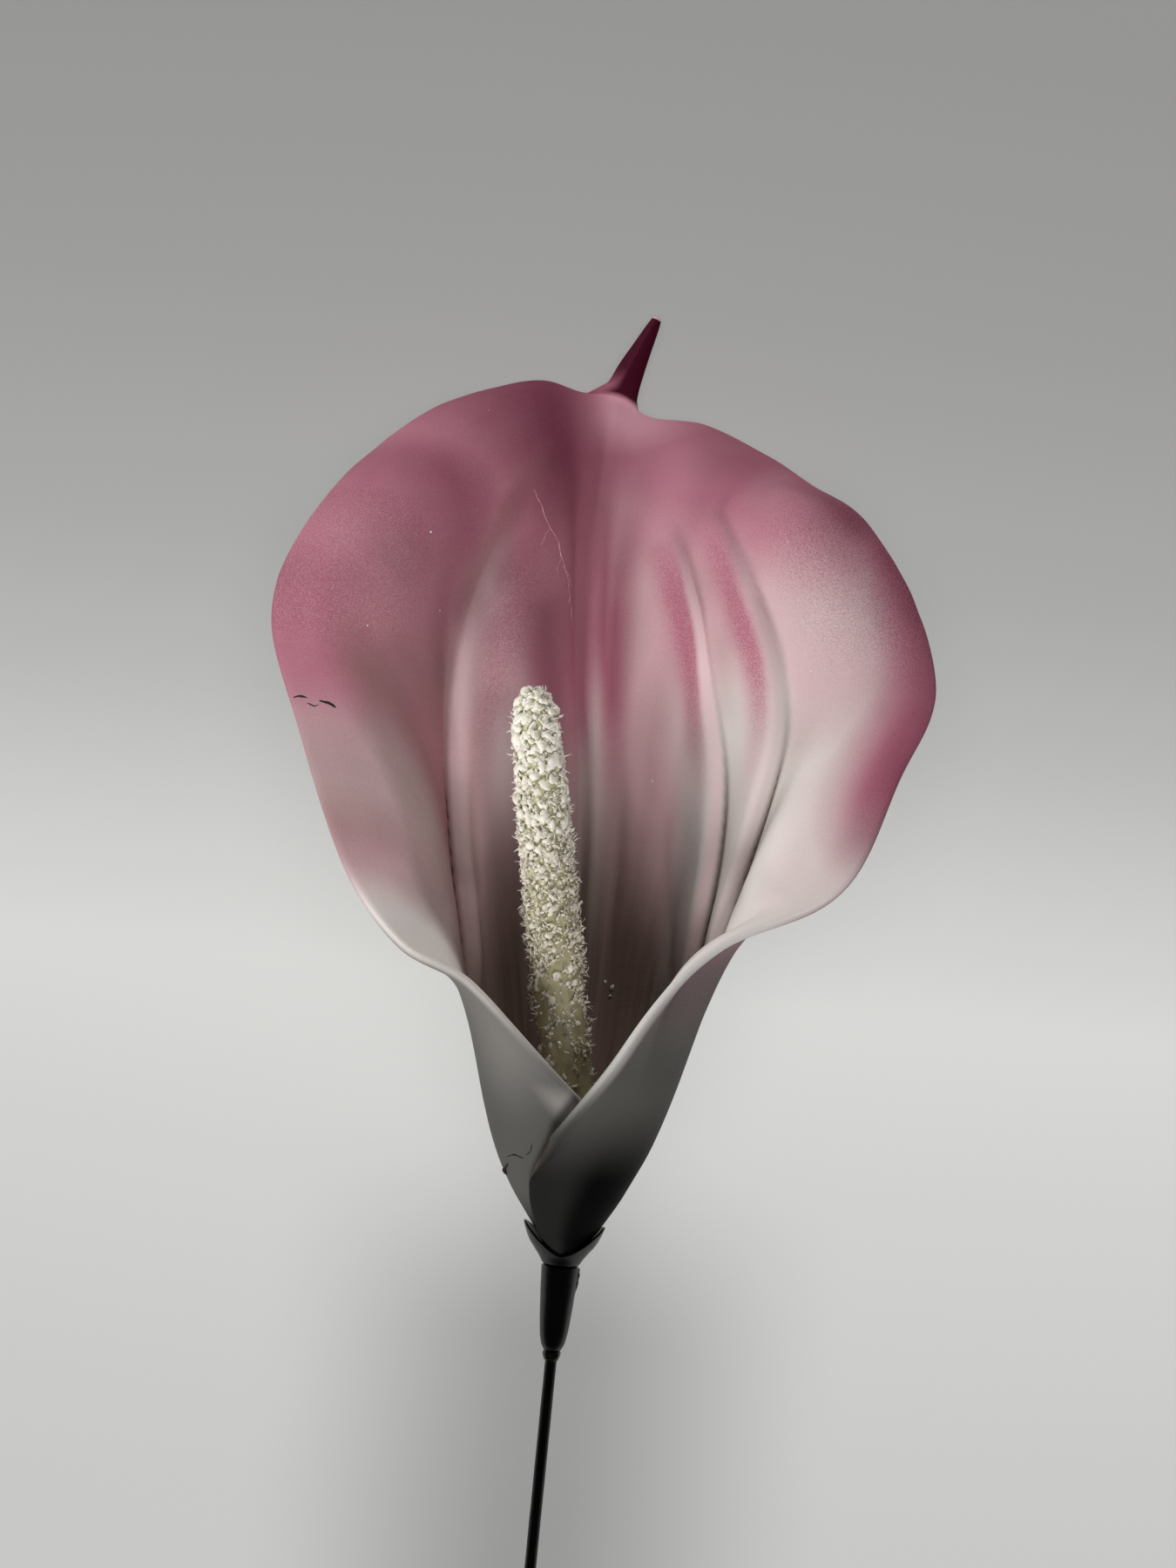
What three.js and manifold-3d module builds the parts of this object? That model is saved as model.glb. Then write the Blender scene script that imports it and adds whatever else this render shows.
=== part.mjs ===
// Artificial calla lily: a formed foam spathe rolled round a crumbed spadix, on a coated wire stem.
// Millimetres. The flower is drawn upright along +Y with its front to +Z, then laid down on its back.
import * as THREE from 'three';
import Module from 'manifold-3d';

const manifold = await Module();
manifold.setup();

// Stem
const STEM_END_Y = -213;
const WIRE_RADIUS = 0.45;
const COATING_INNER = 0.62;
const COATING_OUTER = 0.82;
const COATING_TOP_Y = -0.2;
const WIRE_SHOWS = 0.6;

// Plastic calyx and sleeve
const BORE = 1.0;
const CUP_BOTTOM_Y = -0.6;
const CUP_FLOOR_Y = 0.25;
const CUP_RIM_MEAN = 2.8;
const CUP_RIM_WAVE = 2.0;
const CUP_WALL = 0.38;
const CUP_PROFILE = [[-0.6, 2.6], [0.4, 3.2], [1.2, 3.8], [2.6, 4.78], [4.8, 5.85], [5.4, 6.1]];
const SLEEVE_PROFILE = [
  [-0.85, 2.3], [-0.95, 2.55], [-1.3, 2.62], [-6, 2.32], [-10, 1.97], [-11.8, 1.6], [-12.6, 1.2],
];

// Spathe: height and middle radius of its rolled part
const SHEET_THICKNESS = 1.3;
const SHEET_THIN = 0.75;
const LAYER_GAP = 0.42;
const SPATHE_BASE_Y = 0.65;
const SPATHE_PROFILE = [
  [0.65, 1.75], [3, 3.1], [5, 4.5], [10, 7.5], [18, 11.0], [30, 14.4], [45, 17.1], [60, 18.6],
];
const SPATHE_SHIFT_X = -0.7;
const THROAT_Y = 24;
const THROAT_SHARE = 0.6;
const MARGIN_TWIST = 3.0;
const TWIST_TOP_Y = 18.5;
const TWIST_LOW_Y = 4;

// Rim of the spathe from the inner margin round the back to the outer margin:
// wrap angle from the back, x, y, z and how far the rib rolls outward there, in degrees
const RIM = [
  [-192, 2.2, 21, 9.9, 12],
  [-162, -6, 28.5, 12, 25],
  [-132, -16.1, 37.3, 11, 62],
  [-114, -25.6, 41.6, 8.5, 88],
  [-94, -34.4, 51.4, 4, 96],
  [-76, -43.2, 70.3, 0, 100],
  [-62, -48.6, 84.5, -4.5, 100],
  [-48, -47, 96.2, -10, 100],
  [-36, -41.4, 107.2, -18, 96],
  [-25, -30.3, 118.1, -25, 86],
  [-15, -17.4, 123.7, -27.8, 70],
  [-6, -9.3, 122.9, -27.2, 52],
  [0, -4.5, 122.3, -26.2, 42],
  [7, 1, 120.1, -26.2, 46],
  [15, 9, 119.8, -27, 60],
  [24, 17.4, 116.6, -27.3, 78],
  [33, 25, 112.3, -24.5, 92],
  [44, 32.9, 106.9, -16, 100],
  [58, 40.4, 95.2, -9, 104],
  [72, 43.8, 83, -3.5, 104],
  [88, 39.5, 71, 0.5, 102],
  [106, 32.6, 54.6, 6, 98],
  [128, 17.4, 45.8, 10.2, 78],
  [148, 10, 38, 13.2, 34],
  [168, 3.9, 27.8, 14.3, 20],
  [192, -2.6, 18, 12.5, 20],
];
const RIB_START = 0.42;
const RIB_END = 0.36;
const COLUMNS = 62;
const ROWS = 22;

// Horn at the tip: centre of each ring, half width, half thickness
const HORN = [
  [-5, 111, -20.2, 1.6, 0.3],
  [-5, 117, -23.4, 3.6, 0.55],
  [-4.5, 121.2, -25.2, 3.6, 0.75],
  [-3.9, 124.2, -26.1, 2.3, 0.95],
  [-3, 127.2, -26.8, 1.65, 1.1],
  [-1.8, 130.6, -27.3, 1.35, 1.05],
  [-0.4, 133.6, -27.7, 0.95, 0.8],
  [0.5, 135.3, -27.9, 0.55, 0.5],
];
const HORN_TIP = [0.75, 136, -28];

// Spadix: its axis, the core and the coat of crumbs
const SPADIX_AXIS = [[0, 5, 0], [-0.1, 14, 0], [-1.3, 24, 0.2], [-3.8, 36, 0.7], [-7.2, 54, 1.4], [-11.7, 78.6, 2]];
const CORE_SECTIONS = [[0, 1.5], [0.1, 2.7], [0.2, 3.15], [0.5, 3.3], [0.8, 3.0], [0.92, 2.5], [0.975, 1.5]];
const CRUMB_FROM = 0.16;
const CRUMB_SECTIONS = [[0.16, 3.85], [0.3, 4.05], [0.5, 4.2], [0.7, 4.05], [0.85, 3.7], [0.94, 3.25], [0.985, 2.35]];
const CRUMB_GAP = 0.18;
const CRUMB_RELIEF = 0.25;
const WIRE_IN_CORE = 0.3;

// Pose on the table, in degrees
const PITCH = 4.7;

const radians = THREE.MathUtils.degToRad;

function smooth(from, to, x) {
  const t = THREE.MathUtils.clamp((x - from) / (to - from), 0, 1);
  return t * t * (3 - 2 * t);
}

function profileRadius(profile, y) {
  // Hermite curve through the rows, with slopes taken across the neighbours
  const last = profile.length - 1;
  let i = 0;
  while (i < last - 1 && y > profile[i + 1][0]) i += 1;
  const slope = (k) => {
    const a = profile[Math.max(k - 1, 0)];
    const b = profile[Math.min(k + 1, last)];
    return (b[1] - a[1]) / (b[0] - a[0]);
  };
  const [x0, r0] = profile[i];
  const [x1, r1] = profile[i + 1];
  const h = x1 - x0;
  const t = THREE.MathUtils.clamp((y - x0) / h, 0, 1);
  const t2 = t * t;
  const t3 = t2 * t;
  return (2 * t3 - 3 * t2 + 1) * r0 + (t3 - 2 * t2 + t) * h * slope(i)
    + (3 * t2 - 2 * t3) * r1 + (t3 - t2) * h * slope(i + 1);
}

function alongRows(rows, t) {
  // Catmull-Rom curve through evenly spaced rows
  const n = rows.length - 1;
  const s = THREE.MathUtils.clamp(t, 0, 1) * n;
  const i = Math.min(Math.floor(s), n - 1);
  const f = s - i;
  const p0 = rows[Math.max(i - 1, 0)];
  const p1 = rows[i];
  const p2 = rows[i + 1];
  const p3 = rows[Math.min(i + 2, n)];
  return p1.map((b, k) => {
    const [a, c, d] = [p0[k], p2[k], p3[k]];
    return 0.5 * (2 * b + (c - a) * f + (2 * a - 5 * b + 4 * c - d) * f * f + (3 * b - a - 3 * c + d) * f ** 3);
  });
}

function sheetThickness(y) {
  return SHEET_THIN + (SHEET_THICKNESS - SHEET_THIN) * smooth(3, 16, y);
}

function funnelPoint(angle, y) {
  // The roll widens by one layer each full turn, so the margins overlap without touching
  const r = profileRadius(SPATHE_PROFILE, y) + (sheetThickness(y) + LAYER_GAP) * angle / 360;
  const shift = SPATHE_SHIFT_X * smooth(2, 14, y);
  return new THREE.Vector3(r * Math.sin(radians(angle)) + shift, y, -r * Math.cos(radians(angle)));
}

function bareSheet(u, v) {
  const [angle, x, y, z, roll] = alongRows(RIM, u);
  const rim = new THREE.Vector3(x, y, z);
  const throat = Math.min(THROAT_SHARE * y, THROAT_Y);
  const twist = MARGIN_TWIST * smooth(0.6, 1, u);
  const wrapped = (h) => angle + twist * Math.max(TWIST_TOP_Y - Math.max(h, TWIST_LOW_Y), 0);
  const start = funnelPoint(wrapped(throat), throat);
  const span = rim.distanceTo(start);
  const share = (throat - SPATHE_BASE_Y) / (throat - SPATHE_BASE_Y + span);
  if (v <= share) {
    const h = SPATHE_BASE_Y + (throat - SPATHE_BASE_Y) * v / share;
    return { point: funnelPoint(wrapped(h), h), angle };
  }
  const leave = funnelPoint(wrapped(throat), throat + 0.5).sub(start).normalize();
  const a = radians(angle);
  const b = radians(roll);
  const arrive = new THREE.Vector3(Math.sin(b) * Math.sin(a), Math.cos(b), -Math.sin(b) * Math.cos(a));
  const ease = span * (1 - 0.65 * smooth(0.9, 1, u));
  const rib = new THREE.CubicBezierCurve3(
    start,
    start.clone().addScaledVector(leave, ease * RIB_START),
    rim.clone().addScaledVector(arrive, -ease * RIB_END),
    rim,
  );
  return { point: rib.getPoint((v - share) / (1 - share)), angle };
}

function step(distance, width, length) {
  return -Math.tanh(distance / width) * Math.exp(-Math.abs(distance) / length);
}

function between(a, b, c, d, y) {
  return smooth(a, b, y) * (1 - smooth(c, d, y));
}

function relief(angle, y) {
  // Pleats pressed into the back wall: one on the left, two on the right, a midrib and a soft valley
  const left = 0.83 * y - 109;
  let h = 1.5 * step(left - angle, 1.6, 9) * between(30, 42, 98, 118, y);
  const q = y - 45;
  const right = 59 - 0.0085 * q * Math.abs(q) - 0.25 * q;
  h += 1.1 * step(angle - right, 1.6, 7) * between(28, 44, 92, 110, y);
  const s = y - 50;
  const outer = 75 - 0.0165 * s * Math.abs(s);
  h += 1.4 * step(angle - outer, 1.8, 9) * between(34, 48, 92, 112, y);
  const m = angle + 4;
  const midrib = 0.6 * Math.exp(-((m / 1.9) ** 2)) - 1.3 * Math.exp(-((m / 8) ** 2));
  h += midrib * smooth(22, 50, y) * (1 - 0.6 * smooth(100, 120, y));
  const valley = angle - 17 - (72.9 - y) * 0.98;
  h -= 0.5 * Math.exp(-((valley / 5) ** 2)) * between(30, 45, 66, 84, y);
  return h;
}

function sheetNormal(at, u, v) {
  const e = 0.0015;
  const du = at(Math.min(u + e, 1), v).sub(at(Math.max(u - e, 0), v));
  const dv = at(u, Math.min(v + e, 1)).sub(at(u, Math.max(v - e, 0)));
  return du.cross(dv).normalize();
}

function middleSheet(u, v) {
  const { point, angle } = bareSheet(u, v);
  const normal = sheetNormal((a, b) => bareSheet(a, b).point, u, v);
  return point.addScaledVector(normal, relief(angle, point.y));
}

function geometryFrom(points, faces) {
  const geometry = new THREE.BufferGeometry();
  geometry.setAttribute('position', new THREE.Float32BufferAttribute(points.flatMap((p) => p.toArray()), 3));
  geometry.setIndex(faces.flat());
  return geometry;
}

function spatheGeometry() {
  const points = [];
  const faces = [];
  const middle = [];
  const normals = [];
  for (let i = 0; i <= COLUMNS; i += 1) {
    for (let j = 0; j <= ROWS; j += 1) {
      middle.push(middleSheet(i / COLUMNS, j / ROWS));
      normals.push(sheetNormal(middleSheet, i / COLUMNS, j / ROWS));
    }
  }
  const id = (i, j) => i * (ROWS + 1) + j;
  const count = middle.length;
  const half = middle.map((p) => sheetThickness(p.y) / 2);
  for (const side of [1, -1]) {
    middle.forEach((p, k) => points.push(p.clone().addScaledVector(normals[k], side * half[k])));
  }
  for (let i = 0; i < COLUMNS; i += 1) {
    for (let j = 0; j < ROWS; j += 1) {
      const [a, b, c, d] = [id(i, j), id(i + 1, j), id(i + 1, j + 1), id(i, j + 1)];
      faces.push([a, b, c], [a, c, d]);
      faces.push([a + count, c + count, b + count], [a + count, d + count, c + count]);
    }
  }
  // The edge runs all round and is rounded by one row of points between the two sides
  const edge = [];
  for (let i = 0; i < COLUMNS; i += 1) edge.push(id(i, 0));
  for (let j = 0; j < ROWS; j += 1) edge.push(id(COLUMNS, j));
  for (let i = COLUMNS; i > 0; i -= 1) edge.push(id(i, ROWS));
  for (let j = ROWS; j > 0; j -= 1) edge.push(id(0, j));
  const first = points.length;
  edge.forEach((k, n) => {
    const before = middle[edge.at(n - 1)];
    const after = middle[edge[(n + 1) % edge.length]];
    const out = after.clone().sub(before).cross(normals[k]).normalize();
    points.push(middle[k].clone().addScaledVector(out, half[k]));
  });
  edge.forEach((k, n) => {
    const m = (n + 1) % edge.length;
    const [a, b, p, q] = [k, edge[m], first + n, first + m];
    faces.push([a, p, q], [a, q, b], [p, a + count, b + count], [p, b + count, q]);
  });
  return geometryFrom(points, faces);
}

function lofted(rings, start, end) {
  // Closed skin over rings of equal count, ended in one point at each end
  const n = rings[0].length;
  const points = rings.flat();
  const faces = [];
  for (let i = 0; i + 1 < rings.length; i += 1) {
    for (let k = 0; k < n; k += 1) {
      const [a, b] = [i * n + k, i * n + (k + 1) % n];
      faces.push([a, b, b + n], [a, b + n, a + n]);
    }
  }
  const top = (rings.length - 1) * n;
  points.push(start, end);
  for (let k = 0; k < n; k += 1) {
    const m = (k + 1) % n;
    faces.push([points.length - 2, m, k], [points.length - 1, top + k, top + m]);
  }
  return geometryFrom(points, faces);
}

function hornGeometry() {
  const centres = HORN.map((row) => new THREE.Vector3(row[0], row[1], row[2]));
  const tip = new THREE.Vector3(...HORN_TIP);
  const sides = 14;
  const rings = centres.map((centre, i) => {
    const along = (centres[i + 1] ?? tip).clone().sub(centres[Math.max(i - 1, 0)]).normalize();
    const across = new THREE.Vector3(0, 0, 1).cross(along).negate().normalize();
    const thick = across.clone().cross(along).normalize();
    const [, , , width, depth] = HORN[i];
    return Array.from({ length: sides }, (_, k) => {
      const a = 2 * Math.PI * k / sides;
      return centre.clone()
        .addScaledVector(across, width * Math.cos(a))
        .addScaledVector(thick, -depth * Math.sin(a));
    });
  });
  return lofted(rings, centres[0], tip);
}

function solidOf(geometry) {
  const mesh = new manifold.Mesh({
    numProp: 3,
    vertProperties: new Float32Array(geometry.attributes.position.array),
    triVerts: new Uint32Array(geometry.index.array),
  });
  mesh.merge();
  return new manifold.Manifold(mesh);
}

function joined(first, second) {
  const mesh = manifold.Manifold.union(solidOf(first), solidOf(second)).getMesh();
  const geometry = new THREE.BufferGeometry();
  geometry.setAttribute('position', new THREE.BufferAttribute(new Float32Array(mesh.vertProperties), 3));
  geometry.setIndex(new THREE.BufferAttribute(new Uint32Array(mesh.triVerts), 1));
  return geometry;
}

function ringsRound(rowsAt, turns) {
  // Torus-like skin: rowsAt(angle) gives one closed section as [height, radius] pairs
  const points = [];
  const faces = [];
  let n = 0;
  for (let k = 0; k < turns; k += 1) {
    const a = 2 * Math.PI * k / turns;
    const rows = rowsAt(a);
    n = rows.length;
    for (const [y, r] of rows) points.push(new THREE.Vector3(r * Math.sin(a), y, r * Math.cos(a)));
  }
  for (let k = 0; k < turns; k += 1) {
    for (let i = 0; i < n; i += 1) {
      const [a, b] = [k * n + i, k * n + (i + 1) % n];
      const shift = ((k + 1) % turns - k) * n;
      faces.push([a, a + shift, b + shift], [a, b + shift, b]);
    }
  }
  return geometryFrom(points, faces);
}

function cupGeometry() {
  // The rim stands high at the two sides and low at front and back
  const steps = 6;
  return ringsRound((a) => {
    const rim = CUP_RIM_MEAN - CUP_RIM_WAVE * Math.cos(2 * a);
    const rows = [[CUP_BOTTOM_Y, BORE], [CUP_BOTTOM_Y, CUP_PROFILE[0][1] - 0.15]];
    for (let i = 0; i <= steps; i += 1) {
      const y = CUP_BOTTOM_Y + 0.12 + (rim - CUP_BOTTOM_Y - 0.12) * i / steps;
      rows.push([y, profileRadius(CUP_PROFILE, y)]);
    }
    rows.push([rim + 0.12, profileRadius(CUP_PROFILE, rim) - CUP_WALL / 2]);
    for (let i = steps; i >= 0; i -= 1) {
      const y = CUP_FLOOR_Y + (rim - CUP_FLOOR_Y) * i / steps;
      rows.push([y, profileRadius(CUP_PROFILE, y) - CUP_WALL]);
    }
    rows.push([CUP_FLOOR_Y, BORE]);
    return rows;
  }, 40);
}

function sleeveGeometry() {
  const low = SLEEVE_PROFILE.at(-1)[0];
  return ringsRound(() => [[low, BORE], ...SLEEVE_PROFILE.slice().reverse(), [SLEEVE_PROFILE[0][0], BORE]], 26);
}

function coatingGeometry() {
  return ringsRound(() => [
    [STEM_END_Y, COATING_INNER], [STEM_END_Y, COATING_OUTER], [COATING_TOP_Y, COATING_OUTER],
    [COATING_TOP_Y, COATING_INNER],
  ], 16);
}

function glueGeometry() {
  return ringsRound((a) => {
    const lump = 0.12 * Math.sin(3 * a) + 0.3 * Math.exp(-(((a - 1.7) / 0.5) ** 2));
    return [
      [-13.0, BORE], [-13.9 - lump, BORE], [-14.0 - lump, BORE + 0.2],
      [-13.5, BORE + 0.45 + lump], [-13.0, BORE + 0.3],
    ];
  }, 16);
}

const spadixAxis = new THREE.CatmullRomCurve3(SPADIX_AXIS.map((p) => new THREE.Vector3(...p)));

function sectionRadius(sections, t) {
  return profileRadius(sections, THREE.MathUtils.clamp(t, sections[0][0], sections.at(-1)[0]));
}

function spadixRing(t, radius, sides, bump = () => 0) {
  const centre = spadixAxis.getPointAt(t);
  const along = spadixAxis.getTangentAt(t);
  const across = new THREE.Vector3(0, 0, 1).cross(along).negate().normalize();
  const front = across.clone().cross(along).normalize();
  return Array.from({ length: sides }, (_, k) => {
    const a = 2 * Math.PI * k / sides;
    const r = radius + bump(a, t);
    return centre.clone()
      .addScaledVector(across, r * Math.cos(a))
      .addScaledVector(front, -r * Math.sin(a));
  });
}

function spread(from, to, steps) {
  return Array.from({ length: steps + 1 }, (_, i) => from + (to - from) * i / steps);
}

function coreGeometry() {
  // Hollow below for the wire: up the outside, over the tip and back down the bore
  const outer = spread(0, 0.975, 16).map((t) => spadixRing(t, sectionRadius(CORE_SECTIONS, t), 18));
  const bore = spread(0, WIRE_IN_CORE + 0.02, 6).map((t) => spadixRing(t, WIRE_RADIUS + 0.15, 18));
  return lofted(
    [...bore.reverse(), ...outer],
    spadixAxis.getPointAt(WIRE_IN_CORE + 0.02),
    spadixAxis.getPointAt(0.988),
  );
}

function crumbGeometry() {
  // A rough sock over the core, open at its lower end
  const bump = (a, t) => CRUMB_RELIEF * (
    Math.sin(5 * a + 37 * t) * Math.sin(61 * t + 2 * a) + 0.6 * Math.sin(9 * a - 83 * t));
  const outer = spread(CRUMB_FROM, 0.985, 24)
    .map((t) => spadixRing(t, sectionRadius(CRUMB_SECTIONS, t), 20, bump));
  const inner = spread(CRUMB_FROM, 0.975, 12)
    .map((t) => spadixRing(t, sectionRadius(CORE_SECTIONS, t) + CRUMB_GAP, 20));
  return lofted([...inner.reverse(), ...outer], spadixAxis.getPointAt(0.991), spadixAxis.getPointAt(1));
}

function wireGeometry() {
  const ring = (y, r) => Array.from({ length: 12 }, (_, k) => {
    const a = 2 * Math.PI * k / 12;
    return new THREE.Vector3(r * Math.cos(a), y, -r * Math.sin(a));
  });
  const straight = [STEM_END_Y - WIRE_SHOWS, -2, SPADIX_AXIS[0][1] - 1].map((y) => ring(y, WIRE_RADIUS));
  const bent = spread(0.01, WIRE_IN_CORE, 6).map((t) => spadixRing(t, WIRE_RADIUS, 12));
  return lofted(
    [...straight, ...bent],
    new THREE.Vector3(0, STEM_END_Y - WIRE_SHOWS, 0),
    spadixAxis.getPointAt(WIRE_IN_CORE),
  );
}

const pieces = [
  ['spathe', joined(spatheGeometry(), hornGeometry()), '#b5838f', 0.6, 0],
  ['spadix_core', coreGeometry(), '#9c9c5a', 0.75, 0],
  ['spadix_crumbs', crumbGeometry(), '#dcd8c4', 0.85, 0],
  ['calyx_cup', cupGeometry(), '#1d2b1c', 0.35, 0],
  ['stem_sleeve', sleeveGeometry(), '#141f13', 0.3, 0],
  ['glue_bead', glueGeometry(), '#8b8f4c', 0.35, 0],
  ['stem_wire', wireGeometry(), '#9a9a98', 0.35, 1],
  ['stem_coating', coatingGeometry(), '#1a2818', 0.45, 0],
];

// Lay the flower on its back, then set the middle of its outline over the origin and its lowest point at 0
const lying = new THREE.Matrix4().makeRotationX(radians(PITCH));
const bounds = new THREE.Box3();
for (const [, geometry] of pieces) {
  geometry.applyMatrix4(lying);
  geometry.computeBoundingBox();
  bounds.union(geometry.boundingBox);
}
const middle = bounds.getCenter(new THREE.Vector3());

const group = new THREE.Group();
group.name = 'artificial_calla_lily';
for (const [name, geometry, color, roughness, metalness] of pieces) {
  geometry.translate(-middle.x, -middle.y, -bounds.min.z);
  const mesh = new THREE.Mesh(geometry, new THREE.MeshStandardMaterial({ color, roughness, metalness }));
  mesh.name = name;
  group.add(mesh);
}

export default group;
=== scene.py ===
"""Artificial calla lily lying on its back: foam spathe, crumbed spadix, plastic calyx, coated wire stem."""

import math
from functools import reduce

import bmesh
import bpy
import numpy as np
from mathutils import Matrix, Vector, noise


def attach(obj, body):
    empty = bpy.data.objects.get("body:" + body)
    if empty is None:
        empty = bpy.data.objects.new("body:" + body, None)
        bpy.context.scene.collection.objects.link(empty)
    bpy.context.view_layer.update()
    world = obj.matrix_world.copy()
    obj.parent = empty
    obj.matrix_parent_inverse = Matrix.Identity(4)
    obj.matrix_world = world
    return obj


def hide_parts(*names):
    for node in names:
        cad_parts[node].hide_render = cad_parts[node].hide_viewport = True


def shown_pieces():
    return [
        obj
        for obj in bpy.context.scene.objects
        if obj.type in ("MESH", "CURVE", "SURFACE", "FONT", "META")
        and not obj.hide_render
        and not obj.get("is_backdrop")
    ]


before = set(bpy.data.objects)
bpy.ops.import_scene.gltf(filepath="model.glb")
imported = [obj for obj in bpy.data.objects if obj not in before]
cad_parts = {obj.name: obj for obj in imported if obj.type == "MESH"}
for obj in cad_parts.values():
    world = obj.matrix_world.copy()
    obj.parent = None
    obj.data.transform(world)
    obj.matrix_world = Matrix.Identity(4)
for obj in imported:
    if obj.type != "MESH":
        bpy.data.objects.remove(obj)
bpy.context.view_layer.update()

MM = 0.001

# The flower is drawn upright along +Y with its front to +Z, in millimetres, then laid on its back
FLOWER_PITCH = 4.7
FLOWER_PLACE = (2.4459, 37.5408, 18.2891)
LAID = Matrix.Translation(FLOWER_PLACE) @ Matrix.Rotation(math.radians(FLOWER_PITCH), 4, "X")

# Camera in the flower's own frame: where it stands, how it is turned, and its lens
CAMERA_PLACE = (-2.81, 65.7, 380)
CAMERA_TURN = 5.7
CAMERA_LENS = 63.08

# Soft panels round the flower: direction in the flower's own frame, size, power
LIGHT_AIM = (0, 0.1, 0.02)
PANEL_LIGHT, PAPER_LIGHT = (1.0, 0.99, 0.975), (0.98, 1.0, 1.0)
PAPER_PANEL = (0, 0, 1), 1.2
PANEL_AWAY, PAPER_AWAY = 0.8, 1.1
PANELS = [
    ("panel at the front right", (0.469, 0, 0.883), 0.3, 1.16),
    ("panel beyond the stem", (0, -0.788, 0.616), 0.3, 4.3),
    ("low panel beyond the tip", (0, 0.970, 0.242), 0.3, 2.45),
    ("low panel at the left", (-0.945, 0, 0.327), 0.3, 4.4),
]

# Paper under the flower: painted light, a pool of light and its falloff, given as how pale it is at each place
# along the table, in metres
PAPER_FROM, PAPER_TO = -0.08, 0.22
PAPER_PAINTED_LIGHT = [
    (PAPER_FROM, 0.65), (0.0, 0.67), (0.045, 0.735), (0.075, 0.8), (0.095, 0.7),
    (0.115, 0.565), (0.137, 0.47), (0.175, 0.395), (PAPER_TO, 0.36),
]

# Rolled foam sheet
SHEET_THICKNESS = 1.3
SHEET_THIN = 0.75
LAYER_GAP = 0.42
SPATHE_BASE_Y = 0.65
FUNNEL_LEAN = 0.7
SPATHE_PROFILE = [
    (0.65, 1.75), (3, 3.1), (5, 4.5), (10, 7.5), (18, 11), (30, 14.4), (45, 17.1), (60, 18.6),
]
THROAT_Y = 24
THROAT_SHARE = 0.6
# Degrees that the outer margin turns for each millimetre below the upper height, down to the lower one
MARGIN_TWIST = 2.2
TWIST_TOP_Y, TWIST_LOW_Y = 18.5, 4
RIB_START, RIB_END = 0.42, 0.36
ROWS = 100
PLAIN_COLUMNS, PLEATED_COLUMNS = 12, 20
PLEATED = range(4, 20)
EDGE_STEPS = 3

# Rim from the inner margin round the back to the outer margin:
# wrap angle from the back, x, y, z and how far the rib rolls outward there, in degrees
RIM = [
    (-192, 2.2, 21, 9.9, 12),
    (-162, -6, 28.5, 12, 25),
    (-132, -16.1, 37.3, 11, 62),
    (-114, -25.6, 41.6, 8.5, 88),
    (-94, -34.4, 51.4, 4, 96),
    (-76, -43.2, 70.3, 0, 100),
    (-62, -48.6, 84.5, -4.5, 100),
    (-48, -47, 96.2, -10, 100),
    (-36, -41.4, 107.2, -18, 96),
    (-25, -30.3, 118.1, -25, 86),
    (-15, -17.4, 123.7, -27.8, 70),
    (-6, -9.3, 122.9, -27.2, 52),
    (0, -4.5, 122.3, -26.2, 42),
    (7, 1, 120.1, -26.2, 46),
    (15, 9, 119.8, -27, 60),
    (24, 17.4, 116.6, -27.3, 78),
    (33, 25, 112.3, -24.5, 92),
    (44, 32.9, 106.9, -16, 100),
    (58, 40.4, 95.2, -9, 104),
    (72, 43.8, 83, -3.5, 104),
    (88, 39.5, 71, 0.5, 102),
    (106, 32.6, 54.6, 6, 98),
    (128, 17.4, 45.8, 10.2, 78),
    (148, 10, 38, 13.2, 34),
    (168, 3.9, 27.8, 14.3, 20),
    (192, -2.6, 18, 12.5, 20),
]

# Wrap angle of each line on the sheet at a height
RIGHT_PLEAT = [(44, 63.2), (55, 59.3), (67, 51.9), (77, 42.8), (87, 33.6), (96, 24.2), (105, 14.6)]
OUTER_PLEAT = [(44, 75.7), (55, 74.1), (67, 69), (76, 63.8), (85, 55), (93, 45), (100, 35.6), (106, 26.4)]
RIB = [(50, 3.2), (61, 2.2), (70, 0.6), (80, -1.6), (95, -2.3), (108, -1.3), (120, 0)]
VALLEY_EDGE = [(58, -2), (65, -5), (75, -9.5), (83, -11.7), (91, -12.8), (99, -16), (106, -19), (118, -18)]
LOBE_FOLD = [(48, 113), (56, 98), (63, 88), (72, 79), (81, 72), (90, 66)]
PLEAT_REACH = 10

# Drip tip: centre of each ring, half width, half depth; and where its paint is counted from
HORN_FROM, HORN_TO = -5.4, 4.6
HORN = [
    (-4.1, 122.2, -26.3, 3.7, 0.65),
    (-3.8, 123.4, -26.2, 2.9, 0.8),
    (-3.35, 124.7, -26.2, 2.35, 0.95),
    (-2.5, 127.4, -26.7, 2.0, 1.1),
    (-1.3, 130.6, -27.3, 1.5, 1.05),
    (-0.15, 133.6, -27.7, 1.05, 0.85),
    (0.5, 135.3, -27.95, 0.72, 0.55),
]
HORN_TIP = (0.75, 136, -28.05)
HORN_RINGS = 26
HORN_CORNER = 0.3
HORN_ANGLE, HORN_HEIGHT = -3.0, 122.0

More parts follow.
